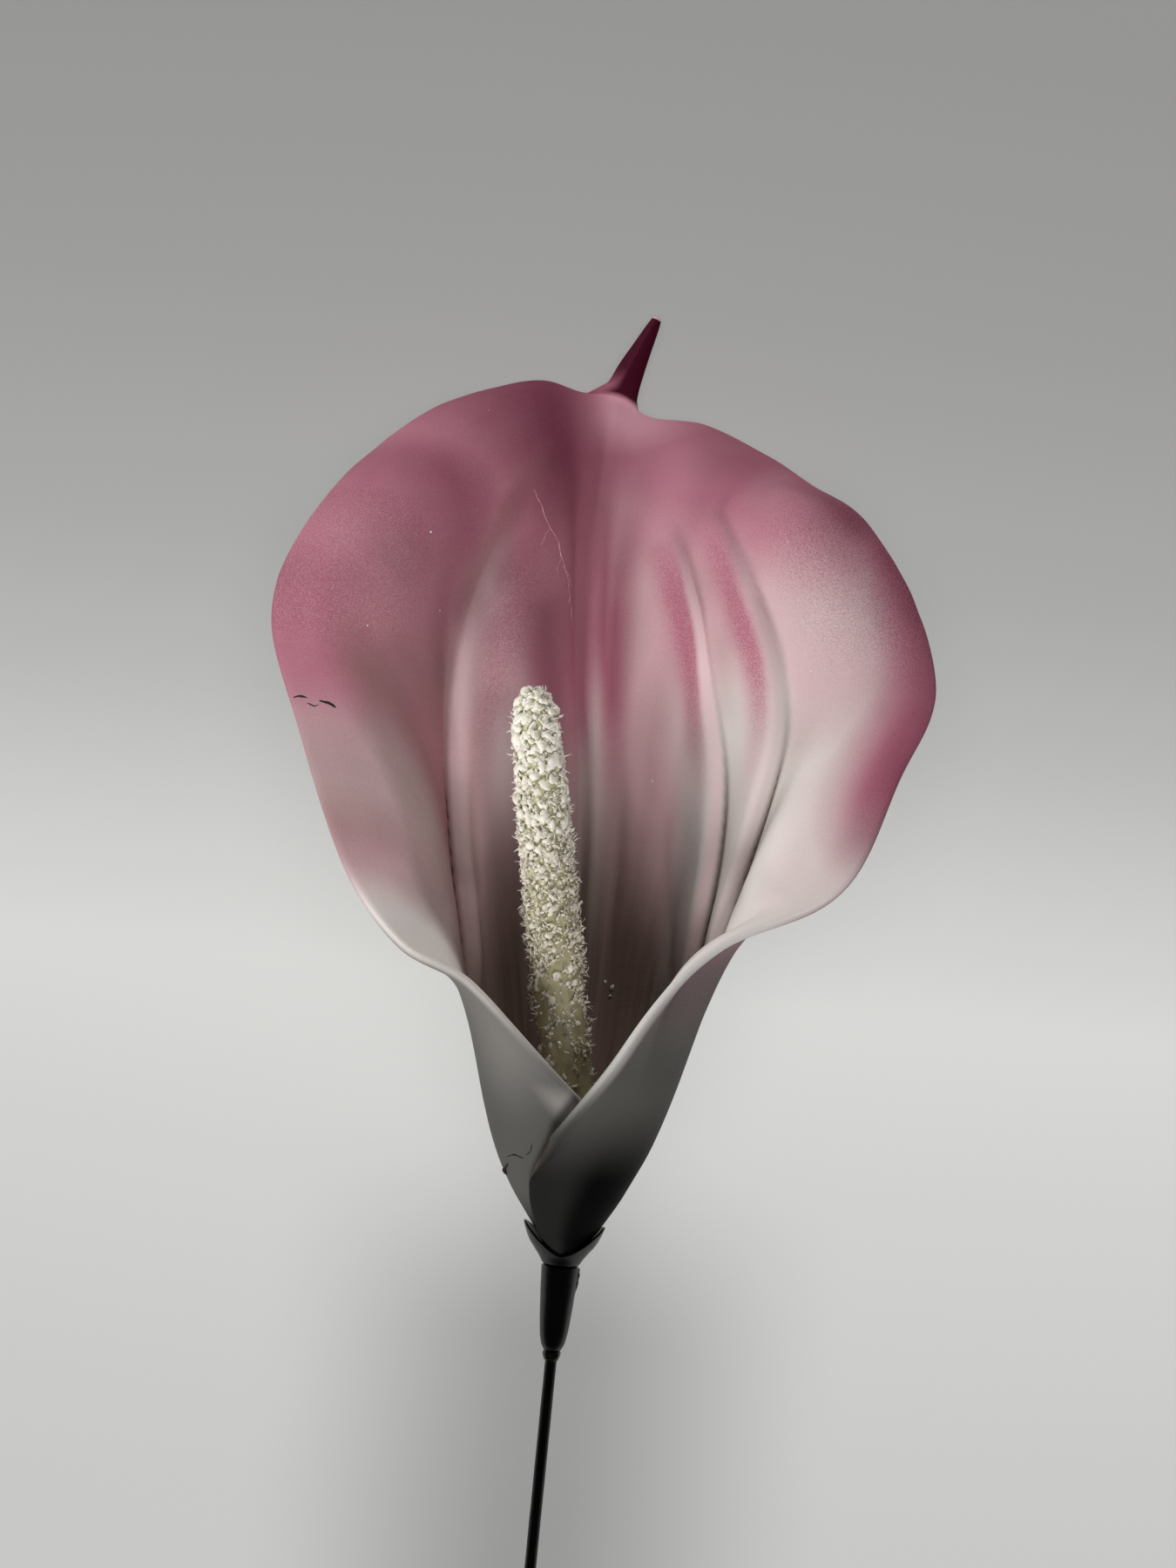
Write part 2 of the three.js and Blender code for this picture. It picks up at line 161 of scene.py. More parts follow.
# Marks on the sheet: each line's (wrap angle, distance to the rim) places, face, width and height
SCRATCHES = [
    ([(-19.2, 25.1), (-18.8, 26.7), (-18.3, 28.9), (-17.3, 30.8), (-16, 32.4), (-15.4, 34.5),
      (-14.5, 36.2), (-13.4, 38), (-12.7, 39.8), (-11.7, 42.9)], 1, 0.17, 0.09),
    ([(-17.3, 30.8), (-18.3, 31.6), (-19.3, 33.2)], 1, 0.1, 0.05),
    ([(-15.4, 34.5), (-16.4, 36.2), (-16.6, 37.8)], 1, 0.1, 0.05),
    ([(-14.5, 36.2), (-13.2, 36.6), (-12.4, 37.6)], 1, 0.1, 0.05),
    ([(-12.9, 39.2), (-14, 41.6)], 1, 0.09, 0.05),
]
# Painted shade: near-black raised lines where cracks and creases are dark with shade
CRACK_SHADE_LINES = [
    ([(-72.9, 0.1), (-72.8, 0.8), (-73, 2.2)], 1, 0.3, 0.05),
    ([(-73.7, 1.9), (-74, 2.9), (-73.7, 3.6)], 1, 0.22, 0.04),
    ([(-73.3, 3.7), (-73.4, 5), (-73.9, 5.9)], 1, 0.42, 0.06),
    ([(-122, 30.2), (-128, 27.1), (-134.5, 24.2), (-139, 22.6), (-143.5, 20.9)], -1, 0.24, 0.06),
    ([(-145, 20), (-149, 18), (-151.5, 16.5), (-153, 15)], -1, 0.16, 0.05),
    ([(-120.5, 32), (-115, 35.6), (-109, 39.5), (-105.5, 42.8)], -1, 0.3, 0.4),
]
# Crumbs that fell on the sheet: wrap angle, distance to the rim, size
LOOSE_CRUMBS = [
    (12.3, 87.4, 0.26), (16.8, 89, 0.42), (16.2, 90.2, 0.2), (-58.5, 15.2, 0.12), (-36.6, 20.3, 0.13),
    (22.3, 59, 0.11), (-21.6, 9.3, 0.1), (44.1, 15.8, 0.1), (63.1, 18.9, 0.1), (-41.2, 28.2, 0.08),
]

LINE_SIDES = 8

# Spadix
SPADIX_AXIS = [(0, 5, 0), (-0.1, 14, 0), (-1.3, 24, 0.2), (-3.8, 36, 0.7), (-7.2, 54, 1.4), (-11.7, 78.6, 2)]
CORE_SECTIONS = [(0, 1.5), (0.1, 2.75), (0.2, 3.2), (0.5, 3.35), (0.78, 3.1), (0.9, 2.8)]
CORE_DOME_FROM, CORE_TOP = 0.9, 0.9945
CORE_SIDES = 72
LUMPS, BITS, SHREDS = 1750, 2300, 2600
CRUMB_SEED, SHRED_SEED, FALLEN_SEED = 41, 43, 44
SHRED_STEPS = 6
# Share of the surface that crumbs cover, at each place from the foot (0) to the tip (1)
CRUMB_COVER = [
    (0.2, 0.14), (0.28, 0.3), (0.34, 0.38), (0.4, 0.46), (0.47, 0.58), (0.55, 0.78), (0.64, 0.96), (1, 1),
]

# Calyx, sleeve, glue and stem
BORE = 1.0
CUP_PROFILE = [(-0.6, 2.6), (0.4, 3.2), (1.2, 3.8), (2.6, 4.78), (4.8, 5.68), (5.4, 5.85)]
CUP_WALL = 0.38
SLEEVE_PROFILE = [(-12.6, 1.2), (-11.8, 1.6), (-10, 1.97), (-6, 2.32), (-1.3, 2.62), (-0.95, 2.55), (-0.85, 2.3)]
COATING_INNER, COATING_OUTER = 0.62, 0.82
COATING_TOP_Y, STEM_END_Y = -0.2, -213
CUP_STEPS, SLEEVE_STEPS, COATING_STEPS = 26, 70, 260


def smooth(low, high, x):
    t = np.clip((x - low) / (high - low), 0, 1)
    return t * t * (3 - 2 * t)


def fade(low, high, x):
    return 1 - smooth(low, high, x)


def between(a, b, c, d, x):
    return smooth(a, b, x) * fade(c, d, x)


def hill(x, centre, width):
    return np.exp(-(((x - centre) / width) ** 2))


def most(*layers):
    """The strongest layer at each place."""
    return reduce(np.maximum, layers)


def hermite(rows, x):
    """Radius from (place, radius) rows, on a smooth curve through them."""
    places, radii = np.array(rows, float).T
    slopes = np.empty_like(radii)
    slopes[1:-1] = (radii[2:] - radii[:-2]) / (places[2:] - places[:-2])
    slopes[0] = (radii[1] - radii[0]) / (places[1] - places[0])
    slopes[-1] = (radii[-1] - radii[-2]) / (places[-1] - places[-2])
    x = np.asarray(x, float)
    i = np.clip(np.searchsorted(places, x) - 1, 0, len(places) - 2)
    h = places[i + 1] - places[i]
    t = np.clip((x - places[i]) / h, 0, 1)
    rise = 3 * t**2 - 2 * t**3
    return (
        (1 - rise) * radii[i] + rise * radii[i + 1]
        + (t**3 - 2 * t**2 + t) * h * slopes[i] + (t**3 - t**2) * h * slopes[i + 1]
    )


def along_rows(rows, t):
    """Catmull-Rom curve through evenly spaced rows."""
    rows = np.asarray(rows, float)
    last = len(rows) - 1
    s = np.clip(np.asarray(t, float), 0, 1) * last
    i = np.minimum(s.astype(int), last - 1)
    f = (s - i)[..., None]
    p0, p1 = rows[np.maximum(i - 1, 0)], rows[i]
    p2, p3 = rows[i + 1], rows[np.minimum(i + 2, last)]
    return 0.5 * (
        2 * p1 + (p2 - p0) * f + (2 * p0 - 5 * p1 + 4 * p2 - p3) * f**2
        + (3 * p1 - p0 - 3 * p2 + p3) * f**3
    )


def unit(v):
    return v / np.maximum(np.linalg.norm(v, axis=-1, keepdims=True), 1e-12)


def rough(points, size, seed=0.0):
    """Smooth noise at each point, about -1 to 1; size is its grain in millimetres."""
    flat = np.asarray(points, float).reshape(-1, 3) / size + seed
    values = [noise.noise(Vector(p)) for p in flat]
    return np.array(values).reshape(np.shape(points)[:-1]) * 1.6


def laid_down(points):
    """From the flower's own millimetres to metres on the table."""
    m = np.array(LAID, float)
    return (np.asarray(points, float) @ m[:3, :3].T + m[:3, 3]) * MM


def placed(name, data):
    thing = bpy.data.objects.new(name, data)
    bpy.context.scene.collection.objects.link(thing)
    return thing


def make_piece(name, shape, material, slot, *nodes):
    """Piece from (points, faces) or (points, faces, masks), which replaces the CAD nodes named."""
    points, faces, masks = (*shape, {})[:3]
    mesh = bpy.data.meshes.new(name)
    mesh.from_pydata(laid_down(points).tolist(), [], [tuple(int(k) for k in f) for f in faces])
    for key, values in masks.items():
        values = np.asarray(values, np.float32)
        kind, field = ("FLOAT_VECTOR", "vector") if values.ndim == 2 else ("FLOAT", "value")
        mesh.attributes.new(key, kind, "POINT").data.foreach_set(field, values.ravel())
    mesh.polygons.foreach_set("use_smooth", [True] * len(mesh.polygons))
    mesh.update()
    piece = placed(name, mesh)
    piece.data.materials.append(material)
    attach(piece, "root")
    if nodes:
        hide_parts(*nodes)


def tube(rings, sides, closed=False):
    """Faces of a tube whose rings have the same number of points; closed joins the last ring to the first."""
    faces = []
    for i in range(rings if closed else rings - 1):
        onward = ((i + 1) % rings - i) * sides
        for k in range(sides):
            a, b = i * sides + k, i * sides + (k + 1) % sides
            faces.append((a, a + onward, b + onward, b))
    return faces


# ---- Spathe ----

def sheet_thickness(y):
    return SHEET_THIN + (SHEET_THICKNESS - SHEET_THIN) * smooth(3, 16, y)


def funnel_point(angle, y):
    """The roll widens by one layer each full turn, so the margins overlap without touching."""
    a = np.radians(angle)
    r = hermite(SPATHE_PROFILE, y) + (sheet_thickness(y) + LAYER_GAP) * angle / 360
    return np.stack([r * np.sin(a) - FUNNEL_LEAN * smooth(2, 14, y), y, -r * np.cos(a)], -1)


def bare_sheet(u, v):
    """Middle of the sheet without its pleats, and the wrap angle."""
    station = along_rows(RIM, u)
    angle, rim, roll = station[..., 0], station[..., 1:4], np.radians(station[..., 4])
    throat = np.minimum(THROAT_SHARE * rim[..., 1], THROAT_Y)
    twist = MARGIN_TWIST * smooth(0.6, 1, u)

    def wrapped(y):
        return angle + twist * np.maximum(TWIST_TOP_Y - np.maximum(y, TWIST_LOW_Y), 0)

    start = funnel_point(wrapped(throat), throat)
    leave = unit(funnel_point(wrapped(throat), throat + 0.5) - start)
    a = np.radians(angle)
    arrive = np.stack([np.sin(roll) * np.sin(a), np.cos(roll), -np.sin(roll) * np.cos(a)], -1)
    span = np.linalg.norm(rim - start, axis=-1, keepdims=True)
    low = throat - SPATHE_BASE_Y
    share = low / (low + span[..., 0])
    y = SPATHE_BASE_Y + low * np.clip(v / share, 0, 1)
    t = np.clip((v - share) / (1 - share), 0, 1)[..., None]
    ease = span * (1 - 0.65 * smooth(0.9, 1, u))[..., None]
    b1, b2 = start + leave * ease * RIB_START, rim - arrive * ease * RIB_END
    s = 1 - t
    rib = s**3 * start + 3 * s**2 * t * b1 + 3 * s * t**2 * b2 + t**3 * rim
    point = np.where((v <= share)[..., None], funnel_point(wrapped(y), y), rib)
    return point, angle + 0 * v


def step(distance, width):
    return -np.tanh(distance / width) * np.exp(-np.abs(distance) / PLEAT_REACH)


def left_pleat(y):
    return 0.83 * y - 108.4


def soft_valley(y):
    return 17 + (72.9 - y) * 0.98


def right_pleat(y):
    return hermite(RIGHT_PLEAT, y)


def outer_pleat(y):
    return hermite(OUTER_PLEAT, y)


def relief(angle, y):
    """Pleats pressed into the back wall, the midrib, a soft valley and a fold in the right lobe, in mm inward."""
    soft = smooth(74, 92, y)
    from_right, from_outer = angle - right_pleat(y), angle - outer_pleat(y)
    from_rib = angle - hermite(RIB, y)
    h = 1.7 * step(left_pleat(y) - 1.6 * soft - angle, 1.6 + 1.4 * soft) * between(30, 42, 100, 118, y)
    h += (1.0 + 0.7 * hill(y, 56, 16)) * step(from_right, 1.5 + 0.8 * soft) * between(28, 44, 94, 108, y)
    h += (1.2 + 0.6 * hill(y, 60, 14)) * step(from_outer, 1.5 + 0.1 * soft) * between(34, 48, 94, 112, y)
    h += 0.8 * hill(from_right, -9, 9) * between(34, 48, 66, 86, y)
    midrib = 0.8 * hill(from_rib, -1.5 * fade(66, 80, y), 2.8)
    midrib = midrib - 1.1 * hill(from_rib, -7, 4.5) - 0.8 * hill(from_rib, 8, 5)
    h += midrib * smooth(22, 50, y) * (1 - 0.7 * smooth(96, 114, y))
    h -= 0.6 * hill(angle, soft_valley(y), 5) * between(30, 45, 66, 84, y)
    h += 0.7 * step(hermite(LOBE_FOLD, y) - angle, 5) * between(44, 54, 74, 90, y)
    return h


def grid_normals(p):
    return unit(np.cross(np.gradient(p, axis=0), np.gradient(p, axis=1)))


def spathe_columns():
    """Places along the rim, closer together where the pleats run."""
    last = len(RIM) - 1
    places = []
    for i in range(last):
        count = PLEATED_COLUMNS if i in PLEATED else PLAIN_COLUMNS
        places += [(i + k / count) / last for k in range(count)]
    return np.array(places + [1.0])


def inner_paint(angle, y, rim):
    """Airbrushing on the front: pink from the top down, plum in the valley and along the rim, tan low down; with
    painted shade in the folds and beside the midrib, and painted highlights along the midrib, on the slope before
    the right pleat and where the drip tip springs.
    """
    left, right, outer = left_pleat(y) - angle, right_pleat(y) - angle, outer_pleat(y) - angle
    rib = hermite(RIB, y)
    left_lobe, right_lobe = smooth(-1, 4, left), smooth(0, 5, -outer)
    centre = between(-30, -20, 4, 13, angle)
    low_down = fade(66, 80, y)

    # Base coat of pink on the back wall, then on each lobe
    pink = 0.58 - 0.05 * fade(54, 70, y) + 0.42 * centre * smooth(60, 82, y) + 0.1 * hill(angle, 21, 14)
    pink += (1 - pink) * smooth(94, 111, y)
    pink *= 1 - smooth(34, 50, angle) * fade(74, 94, y)
    # Painted highlight: paler paint along the midrib's ridge, wider low down
    pink *= 1 - 0.44 * hill(angle, rib - 2.5 * low_down, 2.6 + 1.8 * low_down) * fade(72, 90, y)
    pink *= 1 - 0.16 * hill(angle, 4, 5) * between(88, 95, 105, 114, y)
    pink_left = 0.94 - 0.3 * smooth(64, 76, -angle) * fade(68, 80, y)
    pink_left = pink_left - 0.3 * smooth(78, 92, -angle) - 0.33 * smooth(92, 106, -angle)
    pink_left += (0.44 * hill(angle, -93, 11) - 0.2 * hill(angle, -81, 7)) * between(42, 58, 66, 77, y)
    pink_right = most(
        0.5 * smooth(66, 84, y) + 0.42 * smooth(92, 106, y),
        fade(2, 16, rim) * smooth(50, 71, y) * (1 - 0.3 * smooth(76, 92, angle) * smooth(3, 8, rim)),
        0.2 * fade(8, 24, rim) * between(46, 56, 78, 96, y),
    )
    pink += (pink_left - pink) * left_lobe
    pink += (pink_right - pink) * right_lobe
    # Painted highlight: less pink on the slope left of the right pleat
    pink *= 1 - 0.5 * hill(right, 8, 10) * between(50, 60, 70, 86, y) * (1 - left_lobe)
    pink *= 1 - 0.42 * hill(angle, -36, 9) * hill(y, 69, 9)

    # Stripes before each pleat, the plum valley left of the midrib, and painted shade in the hollow right of the
    # midrib
    stripe_left = hill(left, -9.5, 6.5) * between(57, 76, 92, 108, y)
    stripe_right = hill(right, 5.4, 5.4) * smooth(0.2, 2.8, right) * between(56, 90, 92, 106, y)
    stripe_outer = hill(outer, 4.6, 4.8) * smooth(0.2, 2.6, outer) * between(58, 90, 94, 110, y)
    pink += (1 - pink) * most(0.5 * stripe_left, 0.92 * stripe_right, 0.85 * stripe_outer)
    in_valley = smooth(-5, 3, angle - hermite(VALLEY_EDGE, y))
    valley = in_valley * fade(-3.4, -0.6, angle - rib - 1.6 * smooth(98, 112, y)) * smooth(56, 80, y)
    # Painted shade in the hollow right of the midrib, in pink and plum
    shade_beside_rib = hill(angle, rib + 7.4, 4.6) * between(56, 74, 94, 108, y)
    low_rim = 0.2 * fade(2, 12, rim) * between(66, 80, 100, 112, angle) * between(44, 54, 62, 72, y)
    pink = most(pink, low_rim, valley, 0.8 * shade_beside_rib)

    # Painted shade: the fold beside the left pleat, laid as plum and tan
    fold_shade_left = hill(left, 0.6, 3.8) * between(80, 91, 108, 116, y)
    right_rim = smooth(28, 44, angle) * smooth(52, 64, y)
    plum_edge = 0.46 * fade(0, 6, rim) + 0.14 * fade(5, 14, rim)
    plum = most(
        valley * (0.16 + 0.3 * smooth(84, 110, y)),
        0.8 * hill(angle, -14.5, 11.5) * smooth(90, 112, y),
        0.58 * hill(angle, -29.5, 8.5) * between(86, 95, 107, 117, y),
        0.62 * fold_shade_left,
        0.3 * hill(angle, -37, 6) * hill(y, 101, 7),
        0.3 * hill(left, -6, 4) * between(78, 88, 100, 110, y),
        0.32 * shade_beside_rib,
        0.5 * hill(angle, -6, 4) * smooth(104, 111, y),
        left_lobe * (0.3 * fade(8, 19, rim) * smooth(60, 70, y) * fade(90, 98, y)),
        0.4 * hill(left, 4.5, 3.4) * between(68, 80, 108, 116, y),
        right_rim * plum_edge * (0.95 + 0.05 * smooth(74, 82, y) - 0.3 * hill(y, 86, 7)),
        0.66 * right_rim * smooth(100, 107, y) * fade(4, 11, rim),
        0.24 * hill(angle, 24, 9) * smooth(108, 115, y),
        0.22 * hill(angle, 32, 8) * hill(y, 96, 5),
        0.2 * hill(angle, 21, 6) * hill(y, 105, 5),
        0.24 * stripe_right,
        0.22 * stripe_outer,
    )

    # Painted highlight: bright pink where the drip tip springs, and a little to its right
    rose = most(
        hill(angle, 3.5, 7) * smooth(112, 119.5, y),
        0.22 * hill(angle, 13, 9) * between(98, 106, 114, 120, y),
    )
    plum *= 1 - rose

    grain = most(
        0.12, 0.55 * stripe_left, 0.6 * stripe_right, 0.6 * stripe_outer,
        0.62 * smooth(30, 46, angle) * fade(12, 26, rim) * smooth(78, 92, y),
        0.62 * smooth(32, 42, -angle) * fade(16, 30, rim) * between(78, 86, 102, 110, y),
    )

    # Tan in the throat, and a grey-brown mist on the back wall and in the hollow of the left lobe, with painted
    # shade beside the left pleat's fold and on the right lobe's fold
    top = 80 + 6 * hill(angle, -42, 8) - 8 * smooth(18, 32, angle) - 12 * smooth(32, 46, angle)
    top = top - 8 * smooth(46, 60, angle) - 19 * smooth(20, 42, -angle)
    low = 42 - 8 * smooth(28, 48, np.abs(angle))
    arms = smooth(106, 122, np.abs(angle))
    from_rim = most(smooth(1.5 - 1.1 * arms, 7 - 3.5 * arms, rim), arms * fade(27, 34, y))
    tan = 0.873 * fade(low, top, y) * from_rim * fade(88, 104, -angle)
    # Painted highlight: less tan on the slope left of the right pleat
    tan *= 1 - 0.65 * hill(right, 10, 12) * between(50, 60, 76, 90, y)
    tan = most(tan, 0.2 * centre * between(78, 88, 104, 114, y) * fade(-2, 4, angle))
    tan *= 1 - 0.5 * hill(right, -1.5, 3) * between(46, 56, 76, 88, y)
    tan *= 1 - 0.6 * hill(angle, 41, 5) * hill(y, 63, 7)
    tan = most(
        tan,
        0.3 * fold_shade_left,
        0.26 * hill(angle, -19, 6) * hill(y, 96, 8),
        0.26 * hill(angle, 9, 6) * hill(y, 86, 11),
        0.36 * hill(angle, 21, 11) * between(42, 52, 74, 90, y),
        0.24 * hill(right, -6, 5) * between(72, 79, 86, 94, y),
        left_lobe * smooth(5, 14, rim) * fade(92, 104, -angle)
        * (0.22 + 0.3 * fade(78, 88, y)) * fade(94, 102, y),
        0.5 * hill(angle, -89, 13) * between(43, 59, 64, 80, y),
        0.58 * hill(angle, -61, 9) * between(44, 50, 62, 70, y),
        # Painted shade on the left side of the right lobe's fold
        (0.56 - 0.28 * smooth(60, 70, y)) * hill(angle - hermite(LOBE_FOLD, y), -5 - 16 * fade(54, 67, y), 8)
        * between(46, 54, 74, 84, y) * smooth(5, 14, rim),
    )
    black = 0.8 * smooth(130, 150, angle) * fade(25, 34, y) * fade(3, 8, rim)
    return pink, plum, tan, black, grain, rose


def outer_paint(angle, y, rim):
    """Grey-green base that runs to black at the foot, most on the lap, and a breath of pink along the rim;
    painted shade on the funnel's right side and under the rolled rim, and painted light on the lap's front and
    the flap beside the overlap.
    """
    lap, front = smooth(60, 120, angle), smooth(30, 80, angle)
    black = most(
        # Painted highlight: the lap's front a little less black
        (1 - front) * fade(2, 12, y) + front * fade(12, 26, y) * (1 - 0.12 * smooth(142, 166, angle)),
        0.24 * fade(12, 30, y) * (1 - lap) * (1 - 0.4 * hill(angle, -128, 26)),
        # Painted shade: black on the funnel's right side
        0.9 * hill(angle, 95, 24) * fade(9, 25, y),
    )
    pink = most(0.7 * fade(2, 20, rim) * smooth(52, 72, y), 0.8 * lap * smooth(26, 40, y))
    grey = fade(40, 62, y)
    # Painted light: the flap beside the overlap is lighter where the overlap casts its shadow
    grey *= 1 - 0.3 * smooth(148, 160, -angle) * fade(2, 7, rim) * between(16, 20, 22, 26, y)
    grey *= 1 - 0.12 * hill(angle, -140, 30) * smooth(18, 30, y)
    grey *= 1 - 0.13 * lap * smooth(26, 40, y)
    # Painted shade: grey and plum under the rolled rim, on the outer face
    underside_shade = fade(0.5, 4, rim) * most(
        between(48, 66, 112, 124, angle),
        0.5 * between(84, 96, 112, 124, -angle),
    )
    grey = most(grey, 0.85 * underside_shade)
    plum = most(0.5 * fade(0, 7, rim) * smooth(62, 80, y), 0.3 * underside_shade)
    bare_rim = fade(0, 2.6, rim) * lap * between(20, 31, 48, 60, y)
    grey *= 1 - 0.4 * bare_rim
    pink *= 1 - 0.8 * bare_rim
    return pink, plum, grey, black, 0.2 + 0.4 * pink, 0 * y


def spathe_paint(angle, y, rim, side):
    """Where each airbrushed colour lies, and how coarse the spray is."""
    inner = inner_paint(angle, y, rim)
    outer = outer_paint(angle, y, rim)
    names = ("pink", "plum", "tan", "black", "grain", "rose")
    front = smooth(-0.5, 0.5, side)
    return {name: np.clip(a * front + b * (1 - front), 0, 1) for name, a, b in zip(names, inner, outer)}


def spathe_grid():
    """The sheet over its grid: middle, normal, half thickness, wrap angle, height and distance to the rim."""
    u = spathe_columns()[:, None]
    v = np.linspace(0, 1, ROWS)[None, :]
    bare, angle = bare_sheet(u, v)
    height = bare[..., 1]
    middle = bare + grid_normals(bare) * relief(angle, height)[..., None]
    normal = grid_normals(middle)
    hand_formed = 0.16 * rough(middle, 13.0) + 0.05 * rough(middle, 4.0, 7.0)
    middle = middle + normal * (hand_formed * smooth(24, 50, height))[..., None]
    normal = grid_normals(middle)
    half = sheet_thickness(height) / 2
    lengths = np.linalg.norm(np.diff(middle, axis=1), axis=-1)
    along = np.concatenate([np.zeros((len(lengths), 1)), np.cumsum(lengths, axis=1)], axis=1)
    return middle, normal, half, angle, height, along[:, -1:] - along


def horn_ring(t, turns):
    """Elliptical ring of the drip tip at a share of its length."""
    x, y, z, width, depth = along_rows(HORN, t)
    forward = unit(along_rows(HORN, min(t + 0.02, 1))[:3] - along_rows(HORN, max(t - 0.02, 0))[:3])
    sideways = unit(np.cross(forward, [0, 0, 1.0]))
    thick = np.cross(sideways, forward)
    return (
        np.array([x, y, z]) + width * np.cos(turns)[:, None] * sideways
        + depth * np.sin(turns)[:, None] * thick
    )


def spathe_mesh(grid):
    middle, normal, half, angle, height, rim = grid
    number = np.arange(height.size).reshape(height.shape)
    mid, nor, hal = middle.reshape(-1, 3), normal.reshape(-1, 3), half.ravel()
    on_grid = [values.ravel() for values in (angle, height, rim)]
    points, told = [], []

    def lay(more, *facts):
        """Adds points with their wrap angle, height, distance to the rim, side and share of the drip tip."""
        first = sum(map(len, points))
        points.append(more)
        told.append(np.stack([np.broadcast_to(fact, len(more)) for fact in facts]))
        return first + np.arange(len(more))

    lay(mid + nor * hal[:, None], *on_grid, 1, 0)
    lay(mid - nor * hal[:, None], *on_grid, -1, 0)
    a, b, c, d = (n.ravel() for n in (number[:-1, :-1], number[1:, :-1], number[1:, 1:], number[:-1, 1:]))
    faces = [np.stack([a, b, c, d], 1), np.stack([a, d, c, b], 1) + number.size]

    # The edge runs all round and is rounded; the drip tip grows out of one stretch of it
    loop = np.concatenate([number[:-1, 0], number[-1, :-1], number[:0:-1, -1], number[0, :0:-1]])
    out = unit(np.cross(mid[np.roll(loop, -1)] - mid[np.roll(loop, 1)], nor[loop]))
    chains = [loop]
    for k in range(EDGE_STEPS):
        tilt = math.pi / 2 - math.pi * (k + 1) / (EDGE_STEPS + 1)
        ring = mid[loop] + hal[loop, None] * (out * math.cos(tilt) + nor[loop] * math.sin(tilt))
        chains.append(lay(ring, *(values[loop] for values in on_grid), math.sin(tilt) * 0.9, 0))
    chains.append(loop + number.size)
    horn_columns = np.where((angle[:, -1] >= HORN_FROM) & (angle[:, -1] <= HORN_TO))[0]
    first, last = horn_columns[0], horn_columns[-1]
    low, high = (int(np.where(loop == number[k, -1])[0][0]) for k in (last, first))
    plain = np.ones(len(loop), bool)
    plain[low:high] = False
    for near, far in zip(chains, chains[1:]):
        faces.append(np.stack([near, far, np.roll(far, -1), np.roll(near, -1)], 1)[plain])

    # Closed ring of the sheet's own edge points, then elliptical rings out to the tip
    across = number[first:last + 1, -1]
    right_chain, left_chain = ([chain[k] for chain in chains[1:-1]] for k in (low, high))
    before = np.array([*across, *right_chain, *(across[::-1] + number.size), *left_chain[::-1]])
    past_corner = 2 * HORN_CORNER / (EDGE_STEPS + 1) * np.arange(1, EDGE_STEPS + 1)
    turns = np.concatenate([
        np.linspace(math.pi - HORN_CORNER, HORN_CORNER, len(across)), HORN_CORNER - past_corner,
        np.linspace(-HORN_CORNER, -math.pi + HORN_CORNER, len(across)), -math.pi + HORN_CORNER - past_corner,
    ])
    offset = np.concatenate(points)[before] - horn_ring(0.0, turns)
    for k in range(1, HORN_RINGS + 1):
        t = k / HORN_RINGS
        ring = horn_ring(t, turns) + offset * fade(0, 0.3, t)
        here = lay(ring, HORN_ANGLE + 5 * np.cos(turns), HORN_HEIGHT, 0, np.sin(turns), t)
        faces.append(np.stack([before, np.roll(before, -1), np.roll(here, -1), here], 1))
        before = here
    peak = lay(np.array([HORN_TIP]), HORN_ANGLE, HORN_HEIGHT, 0, 1, 1.05)[0]
    cap = [(a, b, peak) for a, b in zip(before, np.roll(before, -1))]

    angle, height, rim, side, tip = np.concatenate(told, 1)
    masks = spathe_paint(angle, height, rim, side)
    masks["tip"] = tip
    arms = smooth(112, 128, angle) + 0.35 * smooth(112, 128, -angle)
    bare_edge = between(17, 30, 46, 62, height) * arms
    masks["cut"] = between(-0.95, -0.4, 0.5, 0.98, side) * bare_edge
    masks["back"] = (side < 0).astype(float)
    masks["pleats"] = np.stack([angle - line(height) for line in (left_pleat, right_pleat, outer_pleat)], 1)
    masks["strand"] = np.stack([angle, height, side], 1)
    return np.concatenate(points), [f for part in faces for f in part.tolist()] + cap, masks


# ---- Marks on the sheet ----

def on_sheet(grid, places, side):
    """Points at (wrap angle, distance to the rim) on the painted face (1) or the outer (-1), and the way out."""
    middle, normal, half, angle, _, rim = grid
    columns = np.arange(len(angle))

    def in_column(k, depth):
        def at(values):
            return np.interp(-depth, -rim[k], values)
        out = side * unit(np.array([at(normal[k][:, m]) for m in range(3)]))
        return np.array([at(middle[k][:, m]) for m in range(3)]) + out * at(half[k]), out

    points, ways = [], []
    for turn, depth in places:
        column = float(np.interp(turn, angle[:, 0], columns))
        low = min(int(column), len(columns) - 2)
        share = column - low
        (p, a), (q, b) = in_column(low, depth), in_column(low + 1, depth)
        points.append(p * (1 - share) + q * share)
        ways.append(unit(a * (1 - share) + b * share))
    return np.array(points), np.array(ways)


